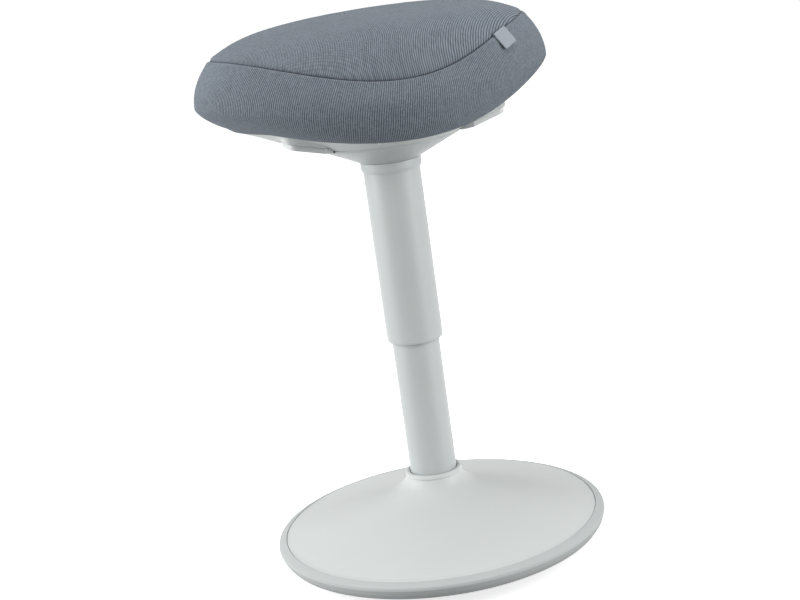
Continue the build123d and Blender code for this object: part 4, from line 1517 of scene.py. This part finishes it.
    def side_tab(self, cushion: Object) -> None:
        """The bare folded tab sewn into the seam on the right.

        Args:
            cushion: The finished cushion.
        """
        tab = self.tab
        tree = BVHTree.FromObject(cushion, bpy.context.evaluated_depsgraph_get())
        root, along, down, out = self.tab_frame()
        width, length, tape = tab.width * MM, tab.length * MM, tab.tape * MM
        clear_selection()
        bpy.ops.mesh.primitive_grid_add(x_subdivisions=tab.columns, y_subdivisions=2 * tab.rows, size=1.0)
        piece = bpy.context.object
        piece.name = "bare_side_tab"
        layer = piece.data.uv_layers.active or piece.data.uv_layers.new()
        layer.name = "weave"
        for loop in piece.data.loops:
            spot = piece.data.vertices[loop.vertex_index].co
            layer.data[loop.index].uv = (spot.x * width, spot.y * 2 * length)
        for vertex in piece.data.vertices:
            across, run = vertex.co.x * width, vertex.co.y
            lap = 1 - abs(run) * 2
            reach = length * lap
            stand = (tab.stand + tab.lift * lap**tab.lift_power) * MM
            bow = tab.bow * MM * math.sin(lap * math.pi) * (across / width)
            close = max(0.0, (lap - tab.fold_from) / tab.fold_run)
            fold = tape * tab.fold * math.sqrt(max(0.0, 1 - close**2))
            spot = root + along * (across - tab.tilt * reach) + down * (reach - tab.root * MM)
            spot += out * (stand + bow)
            surface = tree.find_nearest(spot)
            lift = (spot - surface[0]).dot(surface[1]) if surface[0] else stand
            if lift < tab.clear * MM:
                spot += surface[1] * (tab.clear * MM - lift)
            vertex.co = spot + out * (fold if run > 0 else -fold)
        thick = piece.modifiers.new("tape", "SOLIDIFY")
        thick.thickness = tape
        thick.offset = 0.0
        apply_modifiers(piece)
        bevel(piece, tab.edge * MM, 1, 60)
        smooth(piece, 60)
        self.settle(piece, Body.SEAT, "label_fabric", TAB_TAPE, "side_label")


# ---- studio ------------------------------------------------------------------------------------
@dataclass(frozen=True)
class Lamp:
    """A soft box: where it stands, where it looks, its size and its strength."""

    name: str
    place: tuple[float, float, float]
    aim: tuple[float, float, float]
    width: float
    height: float
    power: float


@dataclass(frozen=True)
class View:
    """Where the camera stands, in metres and radians, and what its lens takes in."""

    seat_turn: float = 0.247  # how far the seat is swivelled to the camera
    distance: float = 1.78494
    eye: float = 0.7491
    pitch: float = 0.2546
    yaw: float = -0.0059
    roll: float = -0.141
    focal_px: float = 1750.0
    frame_px: float = 800.0
    sensor: float = 36.0  # millimetres


@dataclass(frozen=True)
class Backdrop:
    """Tones of the floor and of the white surround."""

    floor_radius: float = 14.0
    floor_dull: float = 0.25  # what the stool's underside is lit by
    floor_shown: float = 0.88  # what the camera sees
    floor_glow: float = 0.7
    sky: Colour = (0.97, 0.985, 1.0)
    sky_power: float = 0.385


class Studio:
    """Floor, world, soft boxes and camera."""

    view = View()
    backdrop = Backdrop()
    lamps = (
        Lamp("left box", (-2.0, 0.1, 0.85), (0, 0, 0.35), 1.3, 1.7, 38.5),
        Lamp("right box", (1.5, -1.3, 0.85), (0, 0, 0.35), 1.0, 1.7, 29.5),
        Lamp("top box", (0.0, 0.3, 2.6), (0, 0, 0.3), 1.6, 1.6, 27.0),
    )

    def build(self) -> None:
        """Sets the stool in a plain pale studio."""
        self.camera()
        self.floor()
        self.world()
        for lamp in self.lamps:
            self.lamp(lamp)
        bpy.context.scene.view_settings.view_transform = "Standard"

    def camera(self) -> None:
        """Stands the camera where the stool is seen rolled and swivelled."""
        v = self.view
        place = Vector((-v.distance * math.sin(v.seat_turn), -v.distance * math.cos(v.seat_turn), v.eye))
        heading = v.yaw + v.seat_turn
        level = math.cos(v.pitch)
        ahead = Vector((math.sin(heading) * level, math.cos(heading) * level, -math.sin(v.pitch)))
        right = ahead.cross(Vector((0, 0, 1))).normalized()
        above = right.cross(ahead)
        turned_right = right * math.cos(v.roll) + above * math.sin(v.roll)
        turned_above = -right * math.sin(v.roll) + above * math.cos(v.roll)
        lens = bpy.data.cameras.new("camera")
        lens.sensor_fit = "HORIZONTAL"
        lens.sensor_width = v.sensor
        lens.lens = v.focal_px / v.frame_px * v.sensor
        lens.dof.use_dof = False
        holder = add_object("camera", lens)
        axes = Matrix((turned_right, turned_above, -ahead)).transposed().to_4x4()
        axes.translation = place
        holder.matrix_world = axes
        bpy.context.scene.camera = holder

    def floor(self) -> None:
        """Lays a wide pale floor that keeps the stool's shadow."""
        clear_selection()
        back = self.backdrop
        bpy.ops.mesh.primitive_circle_add(vertices=96, radius=back.floor_radius, fill_type="NGON")
        floor = bpy.context.object
        floor.name = "studio_floor"
        material = bpy.data.materials.new("studio floor")
        material.use_nodes = True
        wiring = Wiring(material.node_tree)
        rays = wiring.node("LightPath").outputs
        seen = wiring.math("MAXIMUM", rays["Is Camera Ray"], rays["Is Glossy Ray"])
        seen = wiring.math("MAXIMUM", seen, rays["Is Transmission Ray"])
        dull = wiring.fed("BsdfDiffuse", (*[back.floor_dull] * 3, 1))
        shown = wiring.fed("BsdfDiffuse", (*[back.floor_shown] * 3, 1))
        glow = wiring.fed("Emission", (1, 1, 1, 1), back.floor_glow)
        mix = wiring.fed("MixShader", seen, dull, wiring.fed("AddShader", shown, glow))
        wiring.put(wiring.node("OutputMaterial").inputs[0], mix)
        floor.data.materials.append(material)

    def world(self) -> None:
        """A soft white surround, seen as plain white by the camera."""
        world = bpy.data.worlds.new("studio world")
        bpy.context.scene.world = world
        world.use_nodes = True
        wiring = Wiring(world.node_tree)
        rays = wiring.node("LightPath").outputs
        seen = wiring.math("MAXIMUM", rays["Is Camera Ray"], rays["Is Transmission Ray"])
        soft = wiring.fed("Background", (*self.backdrop.sky, 1), self.backdrop.sky_power)
        white = wiring.fed("Background", (1, 1, 1, 1), 1.0)
        mix = wiring.fed("MixShader", seen, soft, white)
        wiring.put(wiring.node("OutputWorld").inputs[0], mix)

    def lamp(self, lamp: Lamp) -> None:
        """Hangs one soft box.

        Args:
            lamp: What hangs where.
        """
        light = bpy.data.lights.new(lamp.name, "AREA")
        light.shape = "RECTANGLE"
        light.size, light.size_y = lamp.width, lamp.height
        light.energy = lamp.power
        holder = add_object(lamp.name, light)
        look = Vector(lamp.aim) - Vector(lamp.place)
        turn = look.to_track_quat("-Z", "Y").to_matrix().to_4x4()
        holder.matrix_world = Matrix.Translation(Vector(lamp.place)) @ turn


def dress_cad_nodes(wardrobe: Wardrobe) -> None:
    """Gives every CAD node the finish of its material slot."""
    for row in frame["record"]["subparts"]:
        node = frame["nodes"][row["node"]]
        finish = NODE_FINISHES.get(row["node"], CAD_FINISHES[row["material_slot"]])
        wardrobe.dress(node, finish)
        if not node.data.uv_layers:
            node.data.uv_layers.new(name="weave")


def main() -> None:
    """Builds the sub-assemblies in order."""
    logging.basicConfig(level=logging.INFO, format="%(name)s: %(message)s")
    wardrobe = Wardrobe()
    dress_cad_nodes(wardrobe)
    for assembly in (RockingFoot, Column, SeatCarrier, Cushion):
        assembly(wardrobe).build()
        log.info("%s is done", assembly.__name__)
    Studio().build()


if __name__ == "__main__":
    main()
